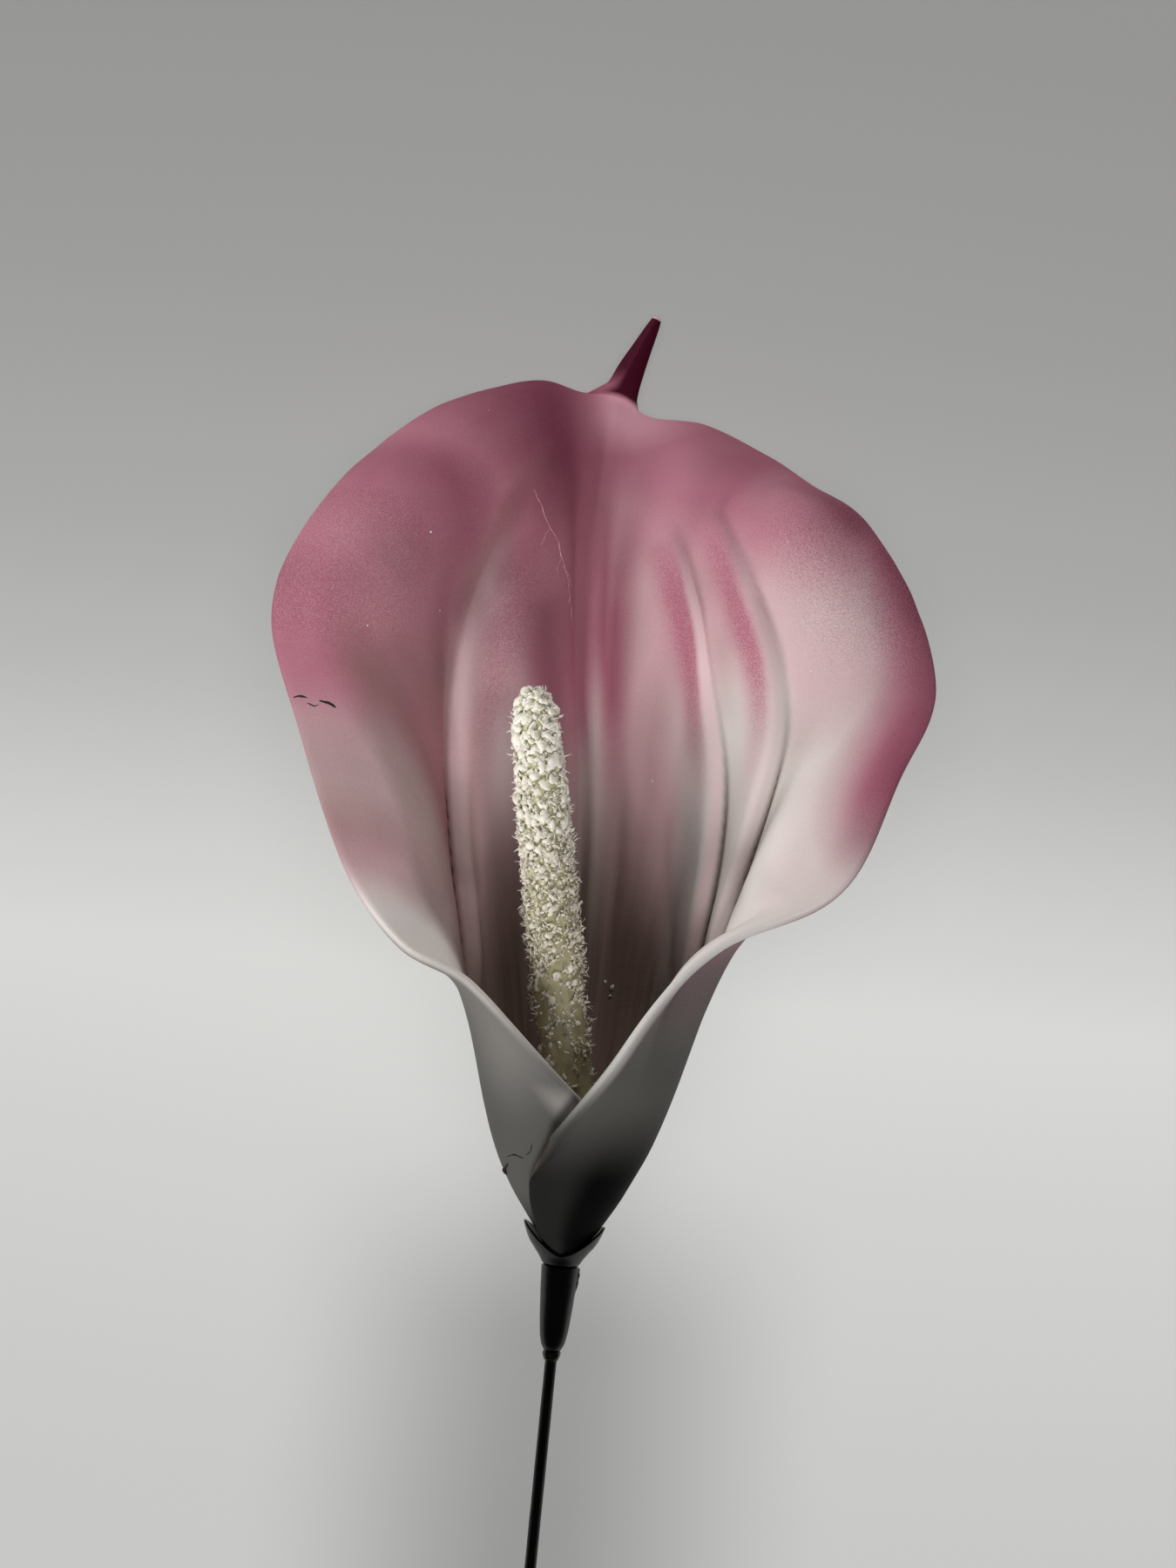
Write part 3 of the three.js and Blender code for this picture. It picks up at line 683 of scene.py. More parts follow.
def raised_line(grid, places, side, width, height, seed):
    """Thin ridge along a line of (wrap angle, distance to the rim) places, uneven and pointed at both ends."""
    places = np.array(places, float)
    corners, _ = on_sheet(grid, places, side)
    reach = np.concatenate([[0], np.cumsum(np.linalg.norm(np.diff(corners, axis=0), axis=1))])
    count = max(4, int(reach[-1] / 0.3))
    at = np.linspace(0, reach[-1], count)
    line, out = on_sheet(grid, np.stack([np.interp(at, reach, places[:, m]) for m in range(2)], 1), side)
    ahead = unit(np.gradient(line, axis=0))
    across = unit(np.cross(ahead, out))
    line = line + across * (0.12 * rough(line, 1.3, seed))[:, None]
    share = np.linspace(0, 1, count)
    full = np.sqrt(np.clip(share * (1 - share) * 4, 0.02, 1)) * (1 + 0.4 * rough(line, 0.8, seed + 5))
    turns = np.linspace(0, 2 * math.pi, LINE_SIDES, endpoint=False)
    rings = np.stack([
        line + across * (math.cos(a) * width / 2 * full)[:, None] + out * (math.sin(a) * height * full)[:, None]
        for a in turns
    ], 1)
    ends = [tuple(range(LINE_SIDES)), tuple(range((count - 1) * LINE_SIDES, count * LINE_SIDES))[::-1]]
    return rings.reshape(-1, 3), tube(count, LINE_SIDES) + ends


def lines_mesh(grid, lines):
    points, faces, total = [], [], 0
    for number, (places, side, width, height) in enumerate(lines):
        more, around = raised_line(grid, places, side, width, height, 3.0 * number)
        points.append(more)
        faces += [tuple(k + total for k in face) for face in around]
        total += len(more)
    return np.concatenate(points), faces


# ---- Spadix ----

def spadix_curve():
    """Centripetal curve through the axis points: place and direction at even steps of length."""
    p = [np.array(q, float) for q in SPADIX_AXIS]
    p = [2 * p[0] - p[1]] + p + [2 * p[-1] - p[-2]]
    dense = []
    for a, b, c, d in zip(p, p[1:], p[2:], p[3:]):
        k0, k1, k2 = (np.linalg.norm(y - x) ** 0.5 for x, y in ((a, b), (b, c), (c, d)))
        m1 = ((b - a) / k0 - (c - a) / (k0 + k1) + (c - b) / k1) * k1
        m2 = ((c - b) / k1 - (d - b) / (k1 + k2) + (d - c) / k2) * k1
        for t in np.linspace(0, 1, 60, endpoint=False):
            dense.append(
                (2 * t**3 - 3 * t**2 + 1) * b + (t**3 - 2 * t**2 + t) * m1
                + (3 * t**2 - 2 * t**3) * c + (t**3 - t**2) * m2
            )
    dense = np.array(dense + [p[-2]])
    length = np.concatenate([[0], np.cumsum(np.linalg.norm(np.diff(dense, axis=0), axis=1))])
    return dense, length / length[-1]


AXIS_POINTS, AXIS_SHARES = spadix_curve()


def axis_at(t):
    return np.stack([np.interp(t, AXIS_SHARES, AXIS_POINTS[:, k]) for k in range(3)], -1)


def core_radius(t):
    t = np.asarray(t, float)
    body = hermite(CORE_SECTIONS, np.minimum(t, CORE_DOME_FROM))
    dome = np.clip((t - CORE_DOME_FROM) / (1 - CORE_DOME_FROM - 0.006), 0, 1)
    return body * np.sqrt(np.maximum(1 - dome**2, 0.0))


def spadix_frame(t):
    forward = unit(axis_at(np.minimum(t + 0.01, 1)) - axis_at(np.maximum(t - 0.01, 0)))
    sideways = unit(np.cross(forward, np.array([0, 0, 1.0])))
    return axis_at(t), forward, sideways, np.cross(sideways, forward)


def core_mesh():
    body = np.linspace(0, CORE_DOME_FROM, 120)
    places = np.concatenate([body, np.linspace(CORE_DOME_FROM, 0.993, 22)[1:]])
    turn = np.linspace(0, 2 * math.pi, CORE_SIDES, endpoint=False)
    points = []
    for t in places:
        centre, _, sideways, front = spadix_frame(t)
        spoke = np.cos(turn)[:, None] * sideways + np.sin(turn)[:, None] * front
        lumps = 1 + 0.035 * rough(centre + spoke * 3, 2.2) + 0.02 * rough(centre + spoke * 3, 0.9, 3.0)
        points.append(centre + spoke * (core_radius(t) * lumps)[:, None])
    count = len(places) * CORE_SIDES
    top = count - CORE_SIDES
    faces = tube(len(places), CORE_SIDES)
    for k in range(CORE_SIDES):
        m = (k + 1) % CORE_SIDES
        faces += [(count, k, m), (count + 1, top + m, top + k)]
    points = np.concatenate(points + [[axis_at(0.0), axis_at(CORE_TOP)]])
    return points, faces, {"place": np.append(np.repeat(places, CORE_SIDES), (0.0, CORE_TOP))}


def random_turns(rng, count):
    """Random rotation matrices."""
    q = unit(rng.normal(size=(count, 4)))
    w, x, y, z = q.T
    return np.stack([
        np.stack([1 - 2 * (y * y + z * z), 2 * (x * y - z * w), 2 * (x * z + y * w)], -1),
        np.stack([2 * (x * y + z * w), 1 - 2 * (x * x + z * z), 2 * (y * z - x * w)], -1),
        np.stack([2 * (x * z - y * w), 2 * (y * z + x * w), 1 - 2 * (x * x + y * y)], -1),
    ], 1)


def on_spadix(t, turn, lift):
    """Point on the core's surface, lifted along its outward direction, and that direction."""
    centre, forward, sideways, front = spadix_frame(t)
    spoke = np.cos(turn)[:, None] * sideways + np.sin(turn)[:, None] * front
    dome = smooth(CORE_DOME_FROM, 1.0, t)[:, None]
    outward = unit(spoke * (1 - 0.85 * dome) + forward * dome * 0.9)
    return centre + spoke * core_radius(t)[:, None] + outward * lift[:, None], outward


def covered(t, turn, rng):
    """Whether each place carries crumbs: all near the tip, patches lower down, none at the foot."""
    point, _ = on_spadix(t, turn, np.zeros(len(t)))
    patches = 0.5 + 0.55 * rough(point, 1.7, 11.0) + 0.14 * rng.normal(size=len(t))
    return patches < np.interp(t, *np.array(CRUMB_COVER).T) * 1.35 - 0.18


def places_on_spadix(rng, count, low, high):
    """Random covered places: share of the length and turn."""
    t = low + (high - low) * rng.random(count * 3)
    turn = rng.random(count * 3) * 2 * math.pi
    kept = np.where(covered(t, turn, rng))[0][:count]
    return t[kept], turn[kept]


def ball(subdivisions):
    work = bmesh.new()
    bmesh.ops.create_icosphere(work, subdivisions=subdivisions, radius=1)
    points = np.array([vert.co[:] for vert in work.verts])
    faces = np.array([[vert.index for vert in face.verts] for face in work.faces])
    work.free()
    return points, faces


def crumbs(rng, subdivisions, centre, outward, size):
    """Rounded lumps of torn foam, each swollen its own way and pressed flat on what it lies on."""
    shape, around = ball(subdivisions)
    count = len(size)
    swell = np.zeros((count, len(shape)))
    for _ in range(4):
        lean = unit(rng.normal(size=(count, 3)))
        waves = (2.2 + 2.4 * rng.random(count))[:, None] * (lean @ shape.T)
        swell += np.cos(waves + 6.3 * rng.random(count)[:, None])
    spread = (0.85, 0.6), (0.7, 0.5), (0.5, 0.4)
    stretch = np.stack([least + more * rng.random(count) for least, more in spread], -1)
    local = shape[None] * stretch[:, None, :] * (1 + 0.15 * swell)[..., None] * size[:, None, None]
    turned = np.einsum("nij,nkj->nki", random_turns(rng, count), local)
    along = np.einsum("nki,ni->nk", turned, outward)
    turned = turned - outward[:, None, :] * (along * 0.3)[..., None]
    points = (centre[:, None, :] + turned).reshape(-1, 3)
    faces = (around[None] + (np.arange(count) * len(shape))[:, None, None]).reshape(-1, 3)
    return points, faces, np.repeat(0.35 + 0.65 * rng.random(count), len(shape))


def shreds(rng, count):
    """Curled slivers of foam, some standing off the surface and most lying among the crumbs."""
    t, turn = places_on_spadix(rng, count, 0.22, 0.985)
    kept = rng.random(len(t)) < 1 - 0.55 * smooth(0.72, 0.86, t)
    t, turn = t[kept], turn[kept]
    count = len(t)
    standing = rng.random(count) < 0.42
    root, outward = on_spadix(t, turn, np.where(standing, 0.15, 0.3 + 0.35 * rng.random(count)))
    lean = unit(outward * np.where(standing, 1.0, 0.12)[:, None] + 0.8 * rng.normal(size=(count, 3)))
    inward = np.minimum(np.einsum("ni,ni->n", lean, outward) - np.where(standing, 0.25, 0.0), 0)
    lean = unit(lean - outward * inward[:, None] * 1.5)
    curl = unit(np.cross(lean, rng.normal(size=(count, 3))))
    length = np.where(standing, 0.4 + 1.5 * rng.random(count) ** 2.2, 0.5 + 0.9 * rng.random(count))
    thick = 0.045 + 0.075 * rng.random(count) ** 1.5
    bend = 0.6 + 2.2 * rng.random(count)
    side = np.cross(lean, curl)
    rings = []
    for k in range(SHRED_STEPS):
        s = k / (SHRED_STEPS - 1)
        swing = bend * s
        spine = (
            root + lean * (length * np.sin(swing) / bend)[:, None]
            + curl * (length * (1 - np.cos(swing)) / bend)[:, None]
        )
        uneven = 0.7 + 0.7 * rng.random(count)
        width = (thick * uneven * (1 - 0.7 * s) * (1.5 if k in (1, 2, 3) else 1.0))[:, None]
        half = side * width * 1.5
        rings.append(np.stack([spine + half, spine + curl * width * 0.6, spine - half], 1))
    rings = np.stack(rings, 1)
    per = SHRED_STEPS * 3
    shape = []
    for k in range(SHRED_STEPS - 1):
        for m in range(3):
            a, b = k * 3 + m, k * 3 + (m + 1) % 3
            shape += [(a, b + 3, b), (a, a + 3, b + 3)]
    shape += [(0, 1, 2), (per - 3, per - 1, per - 2)]
    faces = (np.array(shape)[None] + (np.arange(count) * per)[:, None, None]).reshape(-1, 3)
    return rings.reshape(-1, 3), faces, np.repeat(0.5 + 0.5 * rng.random(count), per), np.repeat(t, per)


def joined(*parts):
    """Several (points, faces, tone, place) parts as one."""
    points, faces, masks, total = [], [], {"tone": [], "place": []}, 0
    for part_points, part_faces, tone, place in parts:
        points.append(part_points)
        faces += (part_faces + total).tolist()
        masks["tone"].append(tone)
        masks["place"].append(place)
        total += len(part_points)
    return np.concatenate(points), faces, {key: np.concatenate(values) for key, values in masks.items()}


def crumb_mesh():
    rng = np.random.default_rng(CRUMB_SEED)
    t, turn = places_on_spadix(rng, LUMPS, 0.22, 0.99)
    t, turn = np.append(t, 0.985), np.append(turn, math.pi)
    size = np.clip(0.4 * np.exp(0.36 * rng.normal(size=len(t))), 0.2, 0.78) * (0.72 + 0.28 * smooth(0.6, 0.8, t))
    size[-1] = 0.5
    lift = size * 0.3 + 0.22 * rng.random(len(t)) * smooth(0.4, 0.6, t)
    lift[-1] = 0.5
    lumps = crumbs(rng, 2, *on_spadix(t, turn, lift), size)
    small, small_turn = places_on_spadix(rng, BITS, 0.2, 0.99)
    size = np.clip(0.15 * np.exp(0.4 * rng.normal(size=len(small))), 0.07, 0.3)
    lift = size * 0.5 + 0.45 * rng.random(len(small)) * smooth(0.4, 0.6, small)
    bits = crumbs(rng, 1, *on_spadix(small, small_turn, lift), size)
    return joined(*((*part, np.repeat(at, len(part[0]) // len(at))) for part, at in ((lumps, t), (bits, small))))


# ---- Calyx, sleeve, glue and stem ----

def turned_skin(rows_at, turns):
    """Closed skin round the stem's axis; rows_at(angle) gives one closed section as (height, radius) rows."""
    points = []
    for k in range(turns):
        a = 2 * math.pi * k / turns
        rows = rows_at(a)
        points += [(r * math.sin(a), y, r * math.cos(a)) for y, r in rows]
    return np.array(points), tube(turns, len(rows), closed=True)


def lumpiness(*place):
    return noise.noise(Vector(place))


def cup_radius(y):
    return float(hermite(CUP_PROFILE, y))


def cup_section(a):
    rim = 2.8 - 2.0 * math.cos(2 * a) + 0.12 * lumpiness(3 * math.sin(a), 3 * math.cos(a), 5)
    top = cup_radius(rim)
    rows = [(-0.84, BORE), (-0.84, 2.12), (-0.82, 2.28), (-0.68, 2.46)]
    outside = [-0.48 + (rim + 0.48) * i / CUP_STEPS for i in range(CUP_STEPS + 1)]
    rows += [(y, cup_radius(y)) for y in outside]
    rows += [(rim + 0.09, top - 0.06), (rim + 0.13, top - CUP_WALL / 2), (rim + 0.09, top - CUP_WALL + 0.06)]
    inside = [0.25 + (rim - 0.25) * i / CUP_STEPS for i in range(CUP_STEPS, -1, -1)]
    rows += [(y, cup_radius(y) - CUP_WALL) for y in inside]
    return rows + [(0.25, BORE)]


def sleeve_section(a):
    """Tapered sleeve with a ragged line of flash up one side."""
    flash = math.exp(-(((a - math.radians(84)) / 0.05) ** 2))
    low, high = SLEEVE_PROFILE[0][0], SLEEVE_PROFILE[-1][0]
    rows = [(low, BORE)]
    for i in range(SLEEVE_STEPS + 1):
        y = low + (high - low) * (i / SLEEVE_STEPS) ** 0.9
        r = float(hermite(SLEEVE_PROFILE, y))
        ragged = 0.16 + 0.14 * lumpiness(y * 1.7, 0, 0)
        r += flash * ragged * float(between(-4.8, -3.2, -1.3, -0.9, y)) * 1.3
        r += 0.02 * lumpiness(r * math.sin(a), y * 0.6, r * math.cos(a))
        rows.append((y, r))
    return rows + [(high, BORE)]


def glue_section(a):
    lump = 0.1 * math.sin(3 * a) + 0.18 * math.exp(-(((a - 1.7) / 0.5) ** 2)) + 0.05 * math.sin(7 * a + 1)
    return [
        (-12.75, BORE - 0.1), (-13.3, BORE - 0.14), (-13.9 - lump, BORE - 0.15), (-14.0 - lump, BORE - 0.06),
        (-13.9 - 0.8 * lump, BORE + 0.02), (-13.6, BORE + 0.1 + 0.5 * lump),
        (-13.25, BORE + 0.2 + 0.7 * lump), (-12.95, BORE + 0.2 + 0.5 * lump), (-12.75, BORE + 0.1),
    ]


def coating_section(a):
    rows = [(STEM_END_Y, COATING_INNER), (STEM_END_Y, COATING_OUTER - 0.06)]
    for i in range(COATING_STEPS + 1):
        y = STEM_END_Y + 0.05 + (COATING_TOP_Y - STEM_END_Y - 0.05) * i / COATING_STEPS
        swell = 0.022 * lumpiness(math.sin(a) * 0.8, y * 0.21, math.cos(a) * 0.8)
        ridge = 0.008 * lumpiness(math.sin(a) * 4, y * 0.02, math.cos(a) * 4)
        rows.append((y, COATING_OUTER - 0.01 + swell + ridge))
    return rows + [(COATING_TOP_Y, COATING_INNER)]


# ---- Materials ----

def feed(socket, value):
    """Links a socket or sets a plain value; a colour is three numbers."""
    if isinstance(value, bpy.types.NodeSocket):
        socket.id_data.links.new(value, socket)
    elif value is not None:
        socket.default_value = (*value, 1.0) if socket.type == "RGBA" else value


def put(kind, *values, out=0, **settings):
    """Adds a shader node to the tree of its inputs, sets it up, feeds them in order, and gives one output."""
    tree = next(value.id_data for value in values if isinstance(value, bpy.types.NodeSocket))
    node = tree.nodes.new("ShaderNode" + kind)
    for key, value in settings.items():
        setattr(node, key, value)
    for socket, value in zip(node.inputs, values):
        feed(socket, value)
    return node.outputs[out]


def mix(factor, a, b):
    return put("Mix", factor, *[None] * 5, a, b, out=2, data_type="RGBA")


def times(a, b, plus=None, clamp=False):
    """a * b, or a * b + plus."""
    operation = "MULTIPLY" if plus is None else "MULTIPLY_ADD"
    return put("Math", a, b, plus, operation=operation, use_clamp=clamp)


def minus(a, b):
    return put("Math", a, b, operation="SUBTRACT")


def larger(a, b):
    return put("Math", a, b, operation="MAXIMUM")


def ramp(value, low, high, to_low=0.0, to_high=1.0):
    """Smooth step of a value from one range to another."""
    return put("MapRange", value, low, high, to_low, to_high, interpolation_type="SMOOTHSTEP")


def speckle(coords, scale, detail=2.0, roughness=0.5):
    return put("TexNoise", coords, None, scale, detail, roughness)


def streaks(coords, stretch, roughness=0.5):
    """Noise drawn out by its own scale along each axis."""
    return speckle(put("VectorMath", coords, stretch, operation="MULTIPLY"), 1.0, 3.0, roughness)


def mask(beside, name, output="Fac"):
    """A mask of the mesh, read in the tree of the socket beside it."""
    node = beside.id_data.nodes.new("ShaderNodeAttribute")
    node.attribute_name = name
    return node.outputs[output]


def new_group(name, inputs, outputs):
    """Empty shader node group; an input without a number is a vector. Gives its tree, inputs and outputs."""
    tree = bpy.data.node_groups.new(name, "ShaderNodeTree")
    for socket, value in inputs.items():
        kind = "NodeSocketVector" if value is None else "NodeSocketFloat"
        made = tree.interface.new_socket(socket, in_out="INPUT", socket_type=kind)
        if value is not None:
            made.default_value = value
    for socket in outputs:
        tree.interface.new_socket(socket, in_out="OUTPUT", socket_type="NodeSocketFloat")
    return tree, tree.nodes.new("NodeGroupInput").outputs, tree.nodes.new("NodeGroupOutput").inputs


def use_group(group, coords, **values):
    node = coords.id_data.nodes.new("ShaderNodeGroup")
    node.node_tree = group
    feed(node.inputs["Coords"], coords)
    for key, value in values.items():
        feed(node.inputs[key.replace("_", " ")], value)
    return node.outputs


def spray_group():
    """Airbrushed paint: an even coat where it is dense, separate specks where it thins out."""
    inputs = {"Coords": None, "Density": 0.5, "Grain": 0.5, "Specks per metre": 3200.0}
    tree, given, result = new_group("Sprayed paint", inputs, ["Cover"])
    coords, density = given["Coords"], given["Density"]
    fine = ramp(speckle(coords, given["Specks per metre"], 1.0), 0.3, 0.7, -0.75, 0.75)
    cloud = times(speckle(coords, 160.0, 3.0), 0.14, -0.07)
    thin = times(density, minus(1.25, density))
    cover = times(times(times(fine, given["Grain"]), thin), 1.1, density)
    feed(result["Cover"], times(cloud, times(density, 0.8), cover, clamp=True))
    return tree


def pores_group():
    """Skin of foam: fine pits and soft unevenness."""
    inputs = {"Coords": None, "Pores per metre": 2600.0, "Unevenness": 0.5}
    tree, given, result = new_group("Foam pores", inputs, ["Height", "Pits"])
    coords, scale = given["Coords"], given["Pores per metre"]
    pits = ramp(put("TexVoronoi", coords, None, scale), 0.0, 0.35)
    height = times(pits, 0.4, speckle(coords, scale, 3.0, 0.6))
    feed(result["Height"], times(speckle(coords, 240.0, 3.0), given["Unevenness"], height))
    feed(result["Pits"], pits)
    return tree


def dust_group():
    """Fine pale dust and handling marks on a glossy surface."""
    tree, given, result = new_group("Dust and scuffs", {"Coords": None, "Amount": 0.3}, ["Dust", "Scuffs"])
    coords = given["Coords"]
    motes = ramp(speckle(coords, 1900.0), 0.68, 0.78)
    film = ramp(speckle(coords, 300.0, 4.0), 0.45, 0.8)
    feed(result["Dust"], times(larger(motes, times(film, 0.5)), given["Amount"]))
    feed(result["Scuffs"], speckle(coords, 900.0, 5.0, 0.7))
    return tree


SPRAY, PORES, DUST = spray_group(), pores_group(), dust_group()


def new_material(name):
    material = bpy.data.materials.new(name)
    material.use_nodes = True
    tree = material.node_tree
    tree.nodes.clear()
    shader = tree.nodes.new("ShaderNodeBsdfPrincipled")
    feed(tree.nodes.new("ShaderNodeOutputMaterial").inputs[0], shader.outputs[0])
    return material, shader.inputs, tree.nodes.new("ShaderNodeTexCoord").outputs["Object"]


def surface(shader, base, roughness, height, strength, distance, specular=None):
    """Feeds the shader its colour, roughness and bump; the distance is the bump's depth in metres."""
    feed(shader["Base Color"], base)
    feed(shader["Roughness"], roughness)
    bump = shader["Normal"].id_data.nodes.new("ShaderNodeBump")
    bump.inputs["Strength"].default_value = strength
    bump.inputs["Distance"].default_value = distance
    feed(bump.inputs["Height"], height)
    feed(shader["Normal"], bump.outputs[0])
    if specular is not None:
        shader["Specular IOR Level"].default_value = specular


def spathe_material():
    material, shader, coords = new_material("Sprayed foam sheet")
    names = ("pink", "plum", "tan", "black", "grain", "rose", "tip", "cut", "back")
    pink, plum, tan, black, grain, rose, tip, cut, back = (mask(coords, name) for name in names)
    strand = mask(coords, "strand", "Vector")
    painted = mix(speckle(coords, 45.0, 3.0), (0.76, 0.71, 0.68), (0.84, 0.79, 0.76))
    pink_cover = use_group(SPRAY, coords, Density=pink, Grain=grain, Specks_per_metre=5200.0)["Cover"]
    plum_cover = use_group(SPRAY, coords, Density=plum, Grain=grain, Specks_per_metre=4300.0)["Cover"]
    fine_streaks = times(streaks(strand, (0.9, 0.09, 1.0), 0.6), 0.1, -0.3)
    streaked = times(streaks(strand, (0.16, 0.03, 1.0), 0.6), 0.5, fine_streaks)
    streaked = times(streaked, minus(1.0, back))
    tan_cover = times(streaked, times(tan, 0.8), tan, clamp=True)
    pleat_crease_shade, crest_rub_and_highlight = pleat_lines(strand)
    # Painted light: the dark paint of the drip tip thins on its left side near the base
    painted_lit_side = ramp(put("SeparateXYZ", strand), -7.8, -3.4, 0.15, 1.0)
    painted_lit_side = larger(painted_lit_side, ramp(tip, 0.15, 0.5, 0.0, 0.96))
    for cover, paint in (
        (pink_cover, (0.50, 0.175, 0.245)),
        # Painted highlight where the drip tip springs
        (times(rose, 0.85), (0.88, 0.46, 0.56)),
        (plum_cover, (0.16, 0.022, 0.055)),
        (tan_cover, mix(back, (0.125, 0.092, 0.066), (0.10, 0.097, 0.09))),
        (black, (0.0012, 0.0014, 0.0014)),
        # Pale line along each pleat's ridge: worn paint and a painted highlight
        (crest_rub_and_highlight, (0.86, 0.64, 0.66)),
        # Painted shade: dark line down the bottom of each pleat
        (times(pleat_crease_shade, 0.85), (0.15, 0.075, 0.07)),
        (times(ramp(tip, 0.0, 0.18), painted_lit_side), (0.05, 0.004, 0.014)),
        # Painted highlight: pale pink at the very tip
        (ramp(tip, 0.97, 1.0), (0.80, 0.52, 0.56)),
        (times(cut, 0.75), (0.64, 0.64, 0.62)),
    ):
        painted = mix(cover, painted, paint)
    pores = use_group(PORES, coords, Pores_per_metre=2400.0, Unevenness=0.6)
    height = times(speckle(coords, 3300.0, 1.0), times(grain, 1.6, 0.25), pores["Height"])
    surface(shader, painted, ramp(pores["Pits"], 0.0, 1.0, 0.66, 0.54), height, 0.28, 0.00012, 0.03)
    return material


def pleat_lines(strand):
    """Painted shade as a dark line down the bottom of each pleat, and a pale line along each ridge, partly worn
    paint and partly a painted highlight.
    """
    height = put("SeparateXYZ", strand, out=1)
    pleats = put("SeparateXYZ", mask(strand, "pleats", "Vector")).node.outputs
    shown = ramp(height, 34.0, 44.0)
    pleat_crease_shade, crest_rub_and_highlight = 0.0, 0.0
    # Pleat, side of it that is pressed in, heights between which the painted shade line fades, strength of the
    # pale worn line with its painted highlight
    for k, side, deep, faint, rub_and_lit in (
        (0, -1.0, 52.0, 104.0, 0.1), (1, 1.0, 60.0, 84.0, 0.72), (2, 1.0, 60.0, 86.0, 0.36),
    ):
        away = times(pleats[k], side)
        line = times(times(ramp(away, -0.4, 1.0), ramp(away, 4.8, 0.8)), ramp(height, faint, deep))
        rubbed_and_lit = times(ramp(away, -3.2, -1.3), ramp(away, 0.6, -0.3))
        rubbed_and_lit = times(rubbed_and_lit, ramp(height, 102.0, 90.0, 0.0, rub_and_lit))
        pleat_crease_shade = larger(times(line, shown), pleat_crease_shade)
        crest_rub_and_highlight = larger(times(rubbed_and_lit, shown), crest_rub_and_highlight)
    return pleat_crease_shade, crest_rub_and_highlight


def mark_material(name, dark, light):
    """Scraped foam, and near-black lines that paint the shade in cracks: broken up along its length and slightly
    rough.
    """
    material, shader, coords = new_material(name)
    broken = speckle(coords, 1500.0, 3.0)
    pores = use_group(PORES, coords, Pores_per_metre=4200.0, Unevenness=0.8)
    base = mix(times(pores["Pits"], 0.25), mix(ramp(broken, 0.35, 0.65), dark, light), dark)
    surface(shader, base, ramp(broken, 0.3, 0.7, 0.6, 0.8), pores["Height"], 0.3, 0.0001, 0.1)
    return material


def core_material():
    material, shader, coords = new_material("Glued olive foam")
    blotch = speckle(coords, 420.0, 4.0)
    shade = ramp(blotch, 0.35, 0.65)
    # Darker olive at the foot and paler toward the tip: partly the core's own colour, partly painted shade deeper
    # in the throat
    foot = mix(shade, (0.35, 0.305, 0.165), (0.46, 0.405, 0.245))
    top = mix(shade, (0.62, 0.62, 0.36), (0.76, 0.75, 0.50))
    base = mix(ramp(mask(coords, "place"), 0.45, 0.85), foot, top)
    pores = use_group(PORES, coords, Pores_per_metre=2000.0, Unevenness=1.0)
    base = mix(times(pores["Pits"], 0.2), base, (0.42, 0.41, 0.24))
    surface(shader, base, ramp(blotch, 0.3, 0.7, 0.38, 0.6), pores["Height"], 0.4, 0.00015)
    return material


def crumb_material():
    material, shader, coords = new_material("Foam crumbs")
    tone = mask(coords, "tone")
    # Painted shade: crumbs darker toward the foot, down in the throat
    low = mix(tone, (0.50, 0.45, 0.36), (0.80, 0.75, 0.64))
    high = mix(tone, (0.86, 0.82, 0.67), (0.98, 0.95, 0.87))
    base = mix(ramp(mask(coords, "place"), 0.48, 1.0), low, high)
    pores = use_group(PORES, coords, Pores_per_metre=5200.0, Unevenness=0.3)
    base = mix(times(minus(1.0, pores["Pits"]), 0.15), base, (0.66, 0.64, 0.46))
    surface(shader, base, ramp(pores["Pits"], 0.0, 1.0, 0.85, 0.7), pores["Height"], 0.35, 0.0001, 0.2)
    return material


def plastic_material(name, dark, light, gloss_low, gloss_high, dust, line_scale):
    """Moulded or coated dark green plastic with drawn lines, dust and scuffs."""
    material, shader, coords = new_material(name)
    lines = streaks(coords, line_scale)
    marks = use_group(DUST, coords, Amount=dust)
    base = mix(marks["Dust"], mix(ramp(lines, 0.3, 0.7), dark, light), (0.32, 0.33, 0.29))
    gloss = ramp(marks["Scuffs"], 0.3, 0.7, gloss_low, gloss_high)
    surface(shader, base, gloss, times(marks["Scuffs"], 0.4, lines), 0.25, 0.0001)
    return material


def glue_material():
    material, shader, coords = new_material("Set glue")
    cloud = speckle(coords, 900.0, 3.0)
    marks = use_group(DUST, coords, Amount=0.2)
    base = mix(marks["Dust"], mix(cloud, (0.010, 0.013, 0.004), (0.045, 0.05, 0.018)), (0.12, 0.12, 0.09))
    surface(shader, base, ramp(cloud, 0.3, 0.7, 0.18, 0.4), cloud, 0.4, 0.0002)
    return material


def wire_material():
    material, shader, coords = new_material("Cut steel wire")
    drawn = streaks(coords, (9000, 300, 9000))
    base = mix(drawn, (0.36, 0.35, 0.34), (0.58, 0.57, 0.55))
    surface(shader, base, ramp(drawn, 0.3, 0.7, 0.28, 0.5), drawn, 0.3, 0.00005)
    shader["Metallic"].default_value = 1.0
    return material


